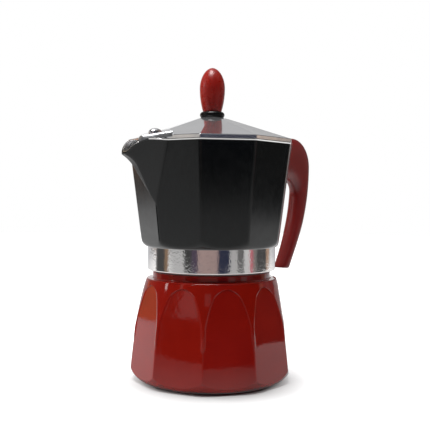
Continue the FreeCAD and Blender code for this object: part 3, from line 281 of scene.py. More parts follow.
belly_turn = quarter(24)
up_body = 1 - (1 - np.linspace(0, 1, 92)[1:])**crowd_upwards
rise = belly[1] + (shoulder[1] - belly[1]) * up_body
body_heights = np.concatenate([belly[1] * (1 - np.cos(belly_turn)), rise])
body_radii = np.concatenate([foot_radius + (belly[0] - foot_radius) * np.sin(belly_turn),
                             bowed(rise, belly, waist, shoulder)])
apothem = bowed(body_heights, panel_low, panel_mid, panel_high)
crossing = np.arccos(np.clip(apothem / body_radii, 0, 1))
up_arch = np.clip((body_heights - arch_spring) / (arch_apex - arch_spring), 0, 1)
arch_line = arch_most * np.sqrt(1 - up_arch**arch_fullness)
arch_half = np.clip(np.minimum(crossing, arch_line), arch_least, arch_most)
off_panel = panel_spokes(column(arch_half))
panels = polygon_reach(column(apothem), off_panel, corner_edge)
from_edge = np.clip((column(arch_half) - np.abs(off_panel)) * column(body_radii) / step_width, 0, 1)
from_edge *= column(up_arch < 1)
step_share = np.clip((body_heights - step_low) / (arch_spring - step_low), 0, 1)
panel_depth = softened_max(column(body_radii) - panels, 0, panel_edge) + panel_step
spandrel_depth = panel_depth * (1 - column(step_share))
body_reach = column(body_radii) - spandrel_depth - (panel_depth - spandrel_depth) * from_edge
plain_spokes = panel_middles + panel_spokes(arch_plain)

edge_turn = quarter(7)[1:]
shoulder_turn = points_of(shoulder[0] - shoulder_round * (1 - np.cos(edge_turn)),
                          shoulder[1] + shoulder_round * np.sin(edge_turn))
bead_foot = points_of(bead_radius + bead_fillet * (1 - np.sin(edge_turn)),
                      shoulder_top + bead_fillet * (1 - np.cos(edge_turn)))
bead_side = (bead_radius, bead_top - bead_round)
bead_edge = points_of(bead_radius - bead_round * (1 - np.cos(edge_turn)),
                      bead_top - bead_round * (1 - np.sin(edge_turn)))

thread_heights = np.linspace(bead_top + thread_clear, neck_top - rim_round, 46)
drift = thread_pitch * (plain_spokes - first_panel) / math.tau
off_thread = (column(thread_heights) - thread_start - drift + thread_pitch / 2) % thread_pitch
flank_run = thread_root_half - thread_crest_half
ridge = np.clip((thread_root_half - np.abs(off_thread - thread_pitch / 2)) / flank_run, 0, 1)
from_ends = np.minimum(thread_heights - bead_top, neck_top - thread_heights)
ends = np.clip(from_ends / thread_fade - fade_from, 0, 1)
thread_reach = thread_root + thread_depth * ridge * column(ends)
neck_rim = [(thread_root - rim_round / 3, neck_top - rim_round / 4), (thread_root - rim_round, neck_top),
            (neck_bore + rim_round, neck_top), (neck_bore + rim_round / 4, neck_top - rim_round / 4)]

boiler_bands = [
    (*profile((0, 0), (12, 0), (24, 0), (foot_radius - foot_edge, 0)), plain_spokes, 1),
    (body_reach, column(body_heights), panel_middles + off_panel, 0),
    (*profile(*shoulder_turn, *bead_foot, bead_side, *bead_edge), plain_spokes, 0),
    (thread_reach, column(thread_heights), plain_spokes, 1),
    (*profile(*neck_rim, *neck_inside, *wall_inside, *floor_inside), plain_spokes, 1),
]
boiler_shell = skin("boiler_shell", [turned(boiler_bands)], [boiler_paint, boiler_bare])
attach(boiler_shell, "boiler")
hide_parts("boiler")

# Valve boss: a low round pad cast on one panel of the boiler, faced flat for the safety valve,
# and painted with the panel.
boss_angle, boss_lean = first_panel + PANEL_STEP, math.radians(7.5)
boss_radius, boss_round, boss_depth = 8.0, 0.8, 2.6
skirt_radius, skirt_edge, skirt_depth = boss_radius + 1.0, boss_radius + 0.3, 1.2
washer_half = 0.5
washer_middle = sum(extent("safety_valve_washer")) / 2
boss_axis = np.array([math.cos(boss_angle) * math.cos(boss_lean), math.sin(boss_angle) * math.cos(boss_lean),
                      math.sin(boss_lean)])
boss_side = np.array([-math.sin(boss_angle), math.cos(boss_angle), 0])
boss_up = np.cross(boss_axis, boss_side)
boss_turn = quarter(6)
boss_edge = boss_radius - boss_round * (1 - np.cos(boss_turn))
boss_reach = column([0, skirt_radius, skirt_edge, *boss_edge, 0])
boss_out = column([-boss_depth, -boss_depth, -skirt_depth, *(-boss_round * (1 - np.sin(boss_turn))), 0])
boss_out -= washer_half
boss_spin = full_turn(72)
boss_across = (boss_reach * np.cos(boss_spin))[..., None] * boss_side
boss_upward = (boss_reach * np.sin(boss_spin))[..., None] * boss_up
boss_points = washer_middle + boss_out[..., None] * boss_axis + boss_across + boss_upward
valve_boss = skin("valve_boss", [(boss_points, 0)], [boiler_paint])
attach(valve_boss, "boiler")


# Safety valve: a turned brass housing with a hexagon, its silicone washer against the boss, and
# the steel stem, spring and brass cap that it holds.
def cover(node, material):
    """A CAD node's own material slots, given a finish."""
    for slot in nodes[node].material_slots:
        slot.material = material


valve_brass = dress("valve_brass", [(0.55, 0.36, 0.11), (0.66, 0.46, 0.17)], (0.2, 0.34), [(900.0, 0.012)],
                    constants={"Metallic": 1.0})
valve_steel = dress("valve_steel", [(0.46, 0.46, 0.46), (0.56, 0.56, 0.55)], (0.2, 0.34), [(1400.0, 0.008)],
                    constants={"Metallic": 1.0})
silicone = dress("silicone", [(0.60, 0.57, 0.50), (0.68, 0.65, 0.58)], (0.5, 0.65), [(1200.0, 0.03)])
cover("safety_valve_washer", silicone)
cover("safety_valve_body", valve_brass)
cover("safety_valve_cap", valve_brass)
cover("safety_valve_stem", valve_steel)
cover("safety_valve_spring", valve_steel)

# Coffee basket: spun and pressed from thin aluminium, with a perforated disc in its bottom; the flat
# silicone gasket and the perforated plate close it from above.
spun_aluminium = dress("spun_aluminium", [(0.60, 0.60, 0.59), (0.70, 0.70, 0.69)], (0.28, 0.42),
                       [(700.0, 0.02, (0.12, 0.12, 3.0))], constants={"Metallic": 1.0})
cover("funnel", spun_aluminium)
cover("funnel_sieve", spun_aluminium)
cover("gasket", silicone)
cover("sieve_plate", spun_aluminium)

# Collector: the upper vessel, cast in aluminium. Its turned collar and its rim are bare and polished,
# its ten leaning walls and its beak are painted satin black, and its inside is left as cast. A flat
# tang behind takes the handle.
collector_paint = dress("collector_paint", [(0.0014, 0.0019, 0.0020), (0.0022, 0.0028, 0.0030)],
                        (0.16, 0.22), [(1500.0, 0.003)], constants={"Specular IOR Level": 0.5})
collar_metal = dress("collar_metal", [(0.80, 0.78, 0.77), (0.86, 0.85, 0.84)], (0.05, 0.12),
                     [(1100.0, 0.042), (900.0, 0.004, (0.1, 0.1, 4.0))], constants={"Metallic": 1.0})
cast_metal = dress("cast_metal", [(0.60, 0.60, 0.60), (0.70, 0.70, 0.70)], (0.36, 0.48), [(1300.0, 0.012)],
                   constants={"Metallic": 1.0})
BLACK, BARE, CAST = 0, 1, 2

collar_low = extent("collector")[0][2]
rim_height = extent("collector")[1][2]
collar_radius, collar_lip = 36.0, 0.8
wall_low, wall_low_radius, rim_radius = 73.6, 39.4, 47.0
collar_rings = (61.4, 64.0, 68.0, 71.0, wall_low - 0.15)
foot_rise, foot_fullness, foot_overhang, foot_soft = 4.9, 1.35, 0.6, 0.9
wall_thickness, floor_height, floor_round, spigot_radius = 2.6, 81.0, 2.5, 6.05
rim_flare, rim_drop, rim_squareness = 0.3, 0.22, 6
bare_least, bare_more, bare_fade, mouth_from = 0.2, 0.3, 0.5, 0.4
beak_base, beak_taper, beak_lean, beak_zone = 21.89, 0.27, 0.309, math.radians(50)
beak_wall, beak_floor, beak_lip = 0.9, 1.2, 1.0
toe, bend, curl, lip = (43.1, 97.4), (56.6, 116.6), (60.1, 119.8), (64.5, 122.1)
mouth_lip, mouth_mid, mouth_root = (64.4, 122.7), (61.0, 127.2), (51.5, 131.0)
corner_soft, flank_soft, root_soft = 0.7, 2.4, 1.0
collar_inside = [(spigot_radius, 77.8), (26.0, 76.2), (26.0, 76.1), (30.1, 76.1), (30.1, 75.3), (31.9, 75.3),
                 (31.9, 71.8), (33.0, 71.8), (33.0, 70.3), (31.9, 70.3), (31.9, 61.4), (32.4, collar_low),
                 (34.0, collar_low)]

side_degrees, corner_degrees = 360 / SIDES, 1.6
near_corner = np.linspace(0, corner_degrees, 9)[:-1]
along_side = np.linspace(corner_degrees, side_degrees - corner_degrees, 20)
side_spokes = np.concatenate([near_corner, along_side, side_degrees - near_corner[:0:-1]])
ten_spokes = (column(side_degrees * np.arange(SIDES)) + side_spokes).ravel()
beak_spokes = np.linspace(165, 195, 101)
wall_angles = np.radians(np.unique(np.round(np.concatenate([ten_spokes, beak_spokes]), 4)))
off_wall = wall_angles % PANEL_STEP - HALF_PANEL
off_beak = np.abs(wall_angles - math.pi)
over_beak = off_beak < beak_zone


def beak_front(heights):
    """Front of the beak at each height: a straight run from the toe, then an arc that curls to the lip."""
    straight = toe[0] + (bend[0] - toe[0]) * (heights - toe[1]) / (bend[1] - toe[1])
    curled = bowed(np.minimum(heights, lip[1]), bend, curl, lip)
    return np.where(heights < bend[1], straight, curled)


def wall_reach(heights, inset, beak_inset, front):
    """Reach of the ten walls at heights, joined to the beak: its flanks lean out and close in forwards."""
    up_wall = (heights - wall_low) / (rim_height - wall_low)
    corner = wall_low_radius + (rim_radius - wall_low_radius) * up_wall
    walls = polygon_reach(corner * math.cos(HALF_PANEL) - inset, off_wall, corner_soft)
    base = beak_base - beak_lean * (rim_height - heights) - beak_inset
    near = np.minimum(off_beak, beak_zone)
    flank = base / (np.sin(near) + beak_taper * np.cos(near))
    beak = softened_min(flank, front / np.cos(near), flank_soft)
    return np.where(over_beak, softened_max(walls, beak, root_soft), walls)


def outside(heights):
    """Reach of the collector's outside."""
    return wall_reach(heights, 0.0, 0.0, beak_front(heights))


def inside(heights):
    """Reach of the collector's inside: walls and beak set in by their thickness."""
    return wall_reach(heights, wall_thickness, beak_wall, beak_front(heights - beak_floor) - beak_lip)


def mouth_height(reach):
    """Height of the rim over each spoke: level, but falling along an arc out to the lip of the beak."""
    forward = np.where(over_beak, reach * np.cos(off_beak), 0)
    within_mouth = np.clip(forward, mouth_root[0], mouth_lip[0])
    fall = bowed(within_mouth, mouth_root[::-1], mouth_mid[::-1], mouth_lip[::-1])
    return np.where(forward < mouth_root[0], rim_height, fall)


def top_of(reach_at):
    """Height at which each spoke of a wall meets the rim, found by halving."""
    low = np.full(len(wall_angles), floor_height)
    high = np.full(len(wall_angles), rim_height)
    for _ in range(40):
        middle = (low + high) / 2
        under_rim = middle < mouth_height(reach_at(middle))
        low = np.where(under_rim, middle, low)
        high = np.where(under_rim, high, middle)
    return high


lip_angles = quarter(6)
lip_turn = points_of(collar_radius - collar_lip * (1 - np.sin(lip_angles)),
                     collar_low + collar_lip * (1 - np.cos(lip_angles)))
collar_side = [(collar_radius, height) for height in collar_rings]
foot_angles = column(quarter(14))
foot_top = wall_low + foot_rise
foot_reach = outside(column([foot_top])).max() - collar_radius + foot_overhang
foot_heights = wall_low + foot_rise * (1 - np.cos(foot_angles)**foot_fullness)
foot_swell = collar_radius + foot_reach * np.sin(foot_angles)**foot_fullness
foot_radii = softened_min(foot_swell, outside(foot_heights), foot_soft)

outer_top = top_of(outside)
inner_top = top_of(inside)
bare_edge = bare_least + bare_more * np.clip(1 - (rim_height - outer_top) / bare_fade, 0, 1)
up_paint = column(np.linspace(0, 1, 84)[1:])
wall_heights = foot_top + up_paint * (outer_top - rim_drop - bare_edge - foot_top)
bare_share = column([0.98, 0.5, 0.0])
bare_heights = outer_top - rim_drop - bare_share * bare_edge
bare_radii = outside(bare_heights) + rim_flare * (1 - bare_share)
across_rim = column([0.06, 0.2, 0.5, 0.8, 0.94])
rim_radii = outside(outer_top) + across_rim * (inside(inner_top) - outside(outer_top))
rim_crown = -rim_drop * np.abs(2 * across_rim - 1)**rim_squareness
rim_heights = outer_top + across_rim * (inner_top - outer_top) + rim_crown
in_mouth = outer_top < rim_height - mouth_from
rim_finish = np.where(in_mouth & (across_rim < 0.5), BLACK, BARE)
inner_heights = inner_top - column(np.linspace(0, 1, 40)) * (inner_top - floor_height - floor_round)
floor_angles = column(quarter(6)[1:])
floor_radii = inside(column([floor_height + floor_round])) - floor_round * (1 - np.cos(floor_angles))
disc_share = column([0.75, 0.5, 0.25, 0.0])
disc_radii = spigot_radius + disc_share * (floor_radii[-1] - spigot_radius)
collector_bands = [
    (*profile(*lip_turn, *collar_side), wall_angles, BARE),
    (foot_radii, foot_heights, wall_angles, BLACK),
    (outside(wall_heights), wall_heights, wall_angles, BLACK),
    (bare_radii, bare_heights, wall_angles, np.where(in_mouth, BLACK, BARE)),
    (rim_radii, rim_heights, wall_angles, rim_finish),
    (inside(inner_heights), inner_heights, wall_angles, CAST),
    (floor_radii, floor_height + floor_round * (1 - np.sin(floor_angles)), wall_angles, CAST),
    (disc_radii, floor_height, wall_angles, CAST),
    (*profile(*collar_inside), wall_angles, CAST),
]


def rounded_ring(half_across, half_up, corner, count):
    """Outline of a rounded rectangle: four quarter circles about its corner centres, counter-clockwise."""
    sweep = (np.arange(count) + 0.5) * math.tau / count
    across = np.sign(np.cos(sweep)) * (half_across - corner) + corner * np.cos(sweep)
    up = np.sign(np.sin(sweep)) * (half_up - corner) + corner * np.sin(sweep)
    return across, up


tang_start, tang_end, tang_low, tang_high = 44.0, 61.0, 115.0, 127.5
tang_half, tang_edge = 2.5, 0.6
tang_runs = column([tang_start, tang_start, tang_end - tang_edge, tang_end, tang_end])
tang_shrink = column([0.0, 1.0, 1.0, 1 - tang_edge / tang_half, 0.0])
tang_across, tang_up = rounded_ring(tang_half, (tang_high - tang_low) / 2, tang_edge, 48)
tang_points = points_of(tang_runs, tang_shrink * tang_across,
                        (tang_low + tang_high) / 2 + tang_shrink * tang_up)
collector_shell = skin("collector_shell", [turned(collector_bands), (tang_points, BLACK)],
                       [collector_paint, collar_metal, cast_metal], looped=True)
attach(collector_shell, "collector")
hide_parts("collector")

# Riser column: a tapered aluminium tube pressed into the collector's floor, out of which the coffee
# flows; it is left as cast, like the collector's inside.
cover("riser_column", cast_metal)

# Lid: cast in aluminium and polished. Ten flat facets rise from a narrow band to a low seat for the
# knob, a raised kite-shaped cover with a small grip boss reaches over the beak, and a knuckle on the
# handle's side takes the hinge pin.
lid_metal = dress("lid_metal", [(0.72, 0.72, 0.74), (0.80, 0.80, 0.82)], (0.07, 0.13), [(1300.0, 0.0025)],
                  constants={"Metallic": 0.93})
lid_overhang, lid_band, lid_edge, lid_corner, edge_hold, facet_rise = 0.3, 2.0, 0.15, 0.15, 0.1, 0.1
crown_height, crown_radius, crown_thickness = extent("knob_collar")[0][2], 8.2, 1.9
seat_radius, seat_foot, seat_bevel, seat_rise, seat_edge, lid_bore = 7.0, 0.05, 0.2, 0.35, 0.25, 2.0
cavity_edge, cavity_start, cavity_boss = 43.7, 9.0, 8.0
lid_radius = rim_radius + lid_overhang
band_top = rim_height + lid_band
cavity_top = crown_height - crown_thickness
lid_angles = np.radians(ten_spokes)
off_lid = lid_angles % PANEL_STEP - HALF_PANEL


def ten_sided(*points):
    """Radii and heights of a ten-sided band, from corner radius and height at each ring."""
    corners, heights = profile(*points)
    return polygon_reach(corners * math.cos(HALF_PANEL), off_lid, lid_corner), heights


up_facet = np.linspace(0, 1, 16)
band_ring = [(lid_radius - lid_edge, rim_height + edge_hold / 2), (lid_radius, rim_height + lid_edge),
             (lid_radius, rim_height + lid_edge + edge_hold), (lid_radius, band_top - 3 * edge_hold),
             (lid_radius, band_top - 2 * edge_hold), (lid_radius - edge_hold, band_top - edge_hold / 2)]
facets = points_of(lid_radius - lid_edge + up_facet * (crown_radius - lid_radius + lid_edge),
                   band_top + facet_rise + up_facet * (crown_height - band_top - facet_rise))
knob_seat = [(seat_radius + seat_edge, crown_height + seat_foot), (seat_radius, crown_height + seat_bevel),
             (seat_radius - seat_edge, crown_height + seat_rise), (lid_bore, crown_height + seat_rise),
             (lid_bore, cavity_top), (cavity_boss, cavity_top)]
cavity = points_of(cavity_start + up_facet * (cavity_edge - cavity_start),
                   cavity_top + up_facet * (rim_height - cavity_top))
lid_bands = [
    (*ten_sided(*band_ring, *facets), lid_angles, 0),
    (*profile(*knob_seat), lid_angles, 0),
    (*ten_sided(*cavity), lid_angles, 0),
]

cover_tip, cover_base, cover_root = (54.4, 1.0), (42.7, 13.5), (32.0, 0.0)
roof_base, roof_tip, cover_heart = 134.9, 132.2, 1.6
hood_from, hood_low, cover_sink, cover_clear = 52.0, 129.9, 0.9, 0.1
cover_draft, edge_steps, edge_drop, roof_inset = 0.89, (0.02, 0.0, -0.025), (0.35, 0.12), 0.4
cover_left = np.array([cover_tip, cover_base, cover_root]) * (-1, -1)
cover_right = np.array([cover_base, cover_tip]) * (-1, 1)
kite = np.concatenate([cover_left, cover_right, cover_left[:1]])
along_kite = np.arange(0, len(kite) - 1, 0.125)
kite_x, kite_y = (np.interp(along_kite, np.arange(len(kite)), values) for values in kite.T)
lid_apothem = lid_radius * math.cos(HALF_PANEL)
facet_slope = (crown_height - band_top) / ((lid_radius - crown_radius) * math.cos(HALF_PANEL))
out_of_facet = lid_apothem + kite_x * math.cos(HALF_PANEL) - np.abs(kite_y) * math.sin(HALF_PANEL)
facet_height = band_top + facet_slope * out_of_facet
root_height = band_top + facet_slope * (lid_radius - cover_root[0]) * math.cos(HALF_PANEL)
on_lid = np.maximum(facet_height - cover_sink, rim_height + cover_clear)
kite_low = np.where(-kite_x > hood_from, hood_low, on_lid)


def roof(reach):
    """Height of the cover's top at a distance from the axis: it falls from the base line to the tip,
    and rises from it to the root on the lid's ridge."""
    front = roof_base + (roof_tip - roof_base) * (reach - cover_base[0]) / (cover_tip[0] - cover_base[0])
    rear = roof_base + (root_height - roof_base) * (cover_base[0] - reach) / (cover_base[0] - cover_root[0])
    return np.where(reach > cover_base[0], front, rear)


kite_scale = column([0.0, 1.0, *(cover_draft + np.array(edge_steps)), roof_inset, 0.0])
cover_x = -cover_base[0] + kite_scale * (kite_x + cover_base[0])
cover_heights = roof(-cover_x)
cover_heights[0] = rim_height + cover_heart
cover_heights[1] = kite_low
cover_heights[2:4] -= column(edge_drop)
cover_points = points_of(cover_x, kite_scale * kite_y, cover_heights)

grip_middle, grip_radii = (-43.2, 0.0, 134.7), (4.1, 3.0, 2.5)
latitude = column(np.linspace(-math.pi / 2, math.pi / 2, 25))
unit_ball = around_axis(np.cos(latitude), np.sin(latitude), full_turn(48))
grip_points = np.array(grip_middle) + np.array(grip_radii) * unit_ball

hinge_x, hinge_z = (sum(extent("hinge_pin")) / 2)[[0, 2]]
knuckle_radius, knuckle_half, knuckle_edge = 3.1, 2.2, 0.3
knuckle_root, root_radius = (44.6, rim_height + 1.4), 1.2
sweep = full_turn(64)
towards_pin = (hinge_x - knuckle_root[0]) * np.sin(sweep) + (hinge_z - knuckle_root[1]) * np.cos(sweep)
on_knuckle = towards_pin + knuckle_radius - root_radius > 0
middle_x = np.where(on_knuckle, hinge_x, knuckle_root[0])
middle_z = np.where(on_knuckle, hinge_z, knuckle_root[1])
knuckle_inset = column([0, -knuckle_edge, 0, 0, -knuckle_edge, 0])
knuckle_reach = knuckle_inset + np.where(on_knuckle, knuckle_radius, root_radius)
knuckle_reach[[0, -1]] = 0
edge_share = knuckle_edge / knuckle_half
knuckle_y = column([-1, -1, edge_share - 1, 1 - edge_share, 1, 1]) * knuckle_half
knuckle_points = points_of(middle_x + knuckle_reach * np.sin(sweep), knuckle_y,
                           middle_z + knuckle_reach * np.cos(sweep))
lid_sheets = [turned(lid_bands), (cover_points, 0), (grip_points, 0), (knuckle_points, 0)]
lid_shell = skin("lid_shell", lid_sheets, [lid_metal], looped=True, crease=25)
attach(lid_shell, "lid")
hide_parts("lid")

# Knob: red moulded plastic on a black ring washer, held from inside the lid by a screw and washer
# that bite into the knob's brass insert.
knob_plastic = dress("knob_plastic", [(0.205, 0.0065, 0.0036), (0.245, 0.0090, 0.0050)], (0.25, 0.32),
                     [(900.0, 0.003), (2600.0, 0.001)], constants={"Specular IOR Level": 0.42})
ring_rubber = dress("ring_rubber", [(0.002, 0.002, 0.002), (0.004, 0.004, 0.004)], (0.25, 0.35),
                    [(900.0, 0.004)], constants={"Specular IOR Level": 0.3})
knob_low, knob_high = (corner[2] for corner in extent("lid_knob"))
knob_radius, knob_foot, knob_swell, knob_point = 7.15, 5.3, 12.9, 0.54
knob_sink, knob_drop, foot_inset = 0.5, 0.45, 0.2
below = np.linspace(1, 0, 32)
above = np.sin(quarter(40))[1:]
knob_radii = np.concatenate([knob_radius - (knob_radius - knob_foot) * below**2,
                             knob_radius * (1 - above**2)**knob_point])
knob_crown = knob_high - knob_drop - knob_low - knob_swell
knob_heights = knob_low + np.concatenate([knob_swell * (1 - below), knob_swell + knob_crown * above])
knob_rows = profile((0, knob_low - knob_sink), (knob_foot - foot_inset, knob_low - knob_sink),
                    *zip(knob_radii, knob_heights))
knob_spin = full_turn(128)
knob_grip = skin("knob_grip", [turned([(*knob_rows, knob_spin, 0)])], [knob_plastic])
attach(knob_grip, "lid")
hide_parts("lid_knob")

ring_middle, ring_half, ring_bed = 5.35, 1.65, 0.35
ring_low, ring_high = crown_height + seat_rise, knob_low - ring_bed
ring_turn = column(full_turn(40))
ring_rows = (ring_middle + ring_half * np.sin(ring_turn),
             (ring_low + ring_high) / 2 - (ring_high - ring_low) / 2 * np.cos(ring_turn))
knob_ring = skin("knob_ring", [turned([(*ring_rows, knob_spin, 0)])], [ring_rubber], looped=True)
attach(knob_ring, "lid")
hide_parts("knob_collar")
cover("knob_insert", valve_brass)
cover("knob_screw", valve_steel)
cover("screw_washer", valve_steel)

# Handle: red moulded plastic with a rounded section, forked over the collector's tang, with the hinge pin
# through its top and a screw through its cheeks.
handle_plastic = dress("handle_plastic", [(0.120, 0.0022, 0.0015), (0.145, 0.0036, 0.0027)], (0.35, 0.41),
                       [(700.0, 0.002), (2400.0, 0.0015)], constants={"Specular IOR Level": 0.6})
handle_top, handle_half, tail_half, handle_fullness = 140.0, 5.5, 4.7, 2.5
tail_heights = (60, 84)
arm_start, arm_under, arm_lead, nose_radius = 48.6, 113.1, 0.6, 5.2
bend_middle, bend_radius = (74.55, 124.6), 15.4
inner_middle, inner_radius, inner_end = (66.5, 103.1), 10.0, math.radians(-4)
back_start, back_pull, tail_pull, back_tail = (89.95, 124.6), (89.95, 94.6), (78.2, 75.6), (69.3, 57.7)
grip_top, grip_mid, grip_tail = (76.476, 102.40), (73.29, 86.2), (60.5, 58.4)
end_round = 0.9
end_inset, end_ahead = np.array([0.0, 0.28, end_round]), np.array([0.0, 0.64, end_round])


def arc(middle, radius, start, end, count):
    """Points along a circle's arc in the handle's plane, as x and z."""
    angles = np.linspace(start, end, count)
    return points_of(middle[0] + radius * np.cos(angles), middle[1] + radius * np.sin(angles))


def swung(start, start_pull, end_pull, end, count):
    """Points along the cubic curve that leaves start towards one pull and reaches end from the other."""
    share = column(np.linspace(0, 1, count))
    left = 1 - share
    from_start = left**3 * np.array(start) + 3 * left**2 * share * np.array(start_pull)
    return from_start + 3 * left * share**2 * np.array(end_pull) + share**3 * np.array(end)


def swelled_ring(half_across, half_up, count):
    """Outline between an oval and a rectangle: a superellipse, counter-clockwise."""
    angles = (np.arange(count) + 0.5) * math.tau / count
    bulge = 2 / handle_fullness
    across = half_across * np.sign(np.cos(angles)) * np.abs(np.cos(angles))**bulge
    return across, half_up * np.sign(np.sin(angles)) * np.abs(np.sin(angles))**bulge


along_arm = np.linspace(0, 1, 20)[:-1]
arm_x = arm_start + along_arm * (bend_middle[0] - arm_start)
before_pin = np.clip(hinge_x - arm_x, 0, nose_radius)
arm_top = points_of(arm_x, handle_top - (nose_radius - np.sqrt(nose_radius**2 - before_pin**2)))
foot_start = arm_start - arm_lead
arm_foot = points_of(foot_start + along_arm * (inner_middle[0] - foot_start), arm_under)
grip_heights = np.linspace(grip_top[1], grip_tail[1], 61)[1:]
outer_edge = np.concatenate([arm_top, arc(bend_middle, bend_radius, math.pi / 2, 0, 30),
                             swung(back_start, back_pull, tail_pull, back_tail, 61)[1:]])
inner_edge = np.concatenate([arm_foot, arc(inner_middle, inner_radius, math.pi / 2, inner_end, 30),
                             points_of(bowed(grip_heights, grip_top, grip_mid, grip_tail), grip_heights)])
spine = (outer_edge + inner_edge) / 2
run = np.gradient(spine, axis=0)
run /= np.linalg.norm(run, axis=1, keepdims=True)
thick = np.linalg.norm(outer_edge - inner_edge, axis=1)
across_run = (outer_edge - inner_edge) / column(thick)
wide = np.interp(spine[:, 1], tail_heights, (tail_half, handle_half))

edge_count = len(outer_edge)
ring_at = np.concatenate([np.zeros(4, int), np.arange(edge_count), np.full(4, edge_count - 1)])
inset = np.concatenate([[end_round], end_inset[::-1], np.zeros(edge_count), end_inset, [end_round]])
ahead = np.concatenate([[-end_round], -end_ahead[::-1], np.zeros(edge_count), end_ahead, [end_round]])
closing = np.ones(len(inset))
closing[[0, -1]] = 0
half_across = column((wide[ring_at] - inset) * closing)
half_up = column((thick[ring_at] / 2 - inset) * closing)
ring_across, ring_up = swelled_ring(half_across, half_up, 64)
ring_spine = spine[ring_at] + column(ahead) * run[ring_at]
handle_x = column(ring_spine[:, 0]) + ring_up * column(across_run[ring_at, 0])
handle_z = column(ring_spine[:, 1]) + ring_up * column(across_run[ring_at, 1])
handle_grip = skin("handle_grip", [(points_of(handle_x, ring_across, handle_z), 0)], [handle_plastic])


def bar_across(x, z, half_x, half_z, low, high, count):
    """Bar along +y from low to high: a circle of many sides, or a box of four."""
    angles = (np.arange(count) + 0.5) * math.tau / count
    reach = column([0, 1, 1, 0]) * (math.sqrt(2) if count == 4 else 1)
    points = points_of(x + half_x * reach * np.sin(angles), column([low, low, high, high]),
                       z + half_z * reach * np.cos(angles))
    return skin("bar", [(points, 0)], [handle_plastic])


def carve(piece, cutters):
    """Piece with the cutters taken out of it."""
    for cutter in cutters:
        cut = piece.modifiers.new(cutter.name, "BOOLEAN")
        cut.operation = "DIFFERENCE"
        cut.solver = "EXACT"
        cut.object = cutter
    carved = bpy.data.meshes.new_from_object(piece.evaluated_get(bpy.context.evaluated_depsgraph_get()))
    piece.modifiers.clear()
    piece.data = carved
    for cutter in cutters:
        bpy.data.objects.remove(cutter)
    carved.shade_smooth()
    carved.set_sharp_from_angle(angle=math.radians(CREASE))


screw_x, screw_z = (sum(extent("handle_screw")) / 2)[[0, 2]]
fork_x, fork_z, fork_half_x, fork_half_z, fork_half = 50.0, 125.0, 13.0, 25.0, 2.6
pin_hole, screw_hole, screw_seat, past_cheek = 1.53, 3.5, 3.6, 7.0
carve(handle_grip, [bar_across(fork_x, fork_z, fork_half_x, fork_half_z, -fork_half, fork_half, 4),
                    bar_across(hinge_x, hinge_z, pin_hole, pin_hole, -past_cheek, past_cheek, 32),
                    bar_across(screw_x, screw_z, screw_hole, screw_hole, screw_seat, past_cheek, 48)])
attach(handle_grip, "collector")
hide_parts("handle")
cover("handle_screw", valve_steel)
cover("hinge_pin", valve_steel)

# Camera: it stands where the photograph was taken from, a little above the pot's collar.
# The image is taken as 430 pixels square.
camera_angle, camera_distance, camera_height = math.radians(223.4), 0.395, 0.098
camera_roll, camera_shift = math.radians(-0.3), (0.0075, -0.0274)
frame_pixels, focal_pixels = 430, 694.6
camera_data = bpy.data.cameras.new("camera")
camera_data.lens = camera_data.sensor_width * focal_pixels / frame_pixels
camera_data.shift_x, camera_data.shift_y = camera_shift
camera = bpy.data.objects.new("camera", camera_data)
camera.location = (camera_distance * math.cos(camera_angle), camera_distance * math.sin(camera_angle),
                   camera_height)
camera.rotation_euler = (math.pi / 2, camera_roll, camera_angle + math.pi / 2)
bpy.context.scene.collection.objects.link(camera)
bpy.context.scene.camera = camera

# Table: a pale matt top on which the pot stands. Its edge, given as bearings to the right of the camera
# and reaches in metres, comes nearer in places, where the collar looks past it at the room. Seen straight it
# shows white with the pot's soft shadow, partly real and partly painted. In reflections it shows white with
# painted light and shade: brighter to the left and behind, darker in front, and a painted shadow by the foot.
table_outline = [(-180, 2.0), (-140, 2.0), (-138, 1.05), (-115, 1.05), (-113, 0.33), (-82, 0.33), (-80, 1.6),
                 (-50, 1.6), (-47, 0.63), (-30, 0.47), (0, 0.41), (30, 0.47), (46, 0.58), (60, 0.55),
                 (90, 0.50), (128, 0.8), (130, 2.0)]
# Painted shadow: the glow that lifts the table to white fades out within these reaches of a point 15 mm
# towards the camera.
painted_shadow_shift, painted_shadow_reach = (-0.015, 0, 0), (0.031, 0.066)
# Painted contact shadow: in reflections the table's glow is darkened close to the pot's foot.
painted_contact_reach, painted_contact_dark = (0.041, 0.051), 0.12
# Painted light and shade on the table as seen in reflections: brighter to the left and behind the pot, darker
# in front.
painted_light_reach = (-0.8, 0.4)
painted_light_stops = [(0.0, 0.55, 0.55, 0.57), (0.38, 1.1), (0.62, 1.1), (0.87, 0.5), (1.0, 0.5)]
matt_grey, shadow_grey = (0.7, 0.7, 0.7, 1), (0.42, 0.42, 0.42, 1)
white = (1, 1, 1, 1)
bearings, reaches = np.array(table_outline).T
headings = camera_angle + np.radians(bearings)
table_edge = points_of(reaches * np.cos(headings), reaches * np.sin(headings), 0)
edge_index = np.arange(len(bearings))
table_faces = points_of(0, 1 + edge_index, 1 + (edge_index + 1) % len(bearings))
table_mesh = bpy.data.meshes.new("table")
table_mesh.from_pydata([(0, 0, 0), *table_edge], [], table_faces.tolist())
table = bpy.data.objects.new("table", table_mesh)
bpy.context.scene.collection.objects.link(table)


def shaded(tree, share, stops, interpolation="LINEAR"):
    """Colour ramp over a share from 0 to 1, whose stops give their place and a grey or a colour."""
    ramp_node = wire(tree, "ValToRGB", {"Fac": share})
    ramp = ramp_node.color_ramp
    ramp.interpolation = interpolation
    for _ in stops[2:]:
        ramp.elements.new(1.0)
    for element, (place, *colour) in zip(ramp.elements, stops):
        element.position = place
        element.color = (*(colour * 3)[:3], 1)
    return ramp_node.outputs["Color"]


def any_of(tree, *shares):
    """Highest of several shares."""
    highest = shares[0]
    for share in shares[1:]:
        highest = wire(tree, "Math", {0: highest, 1: share}, operation="MAXIMUM").outputs[0]
    return highest


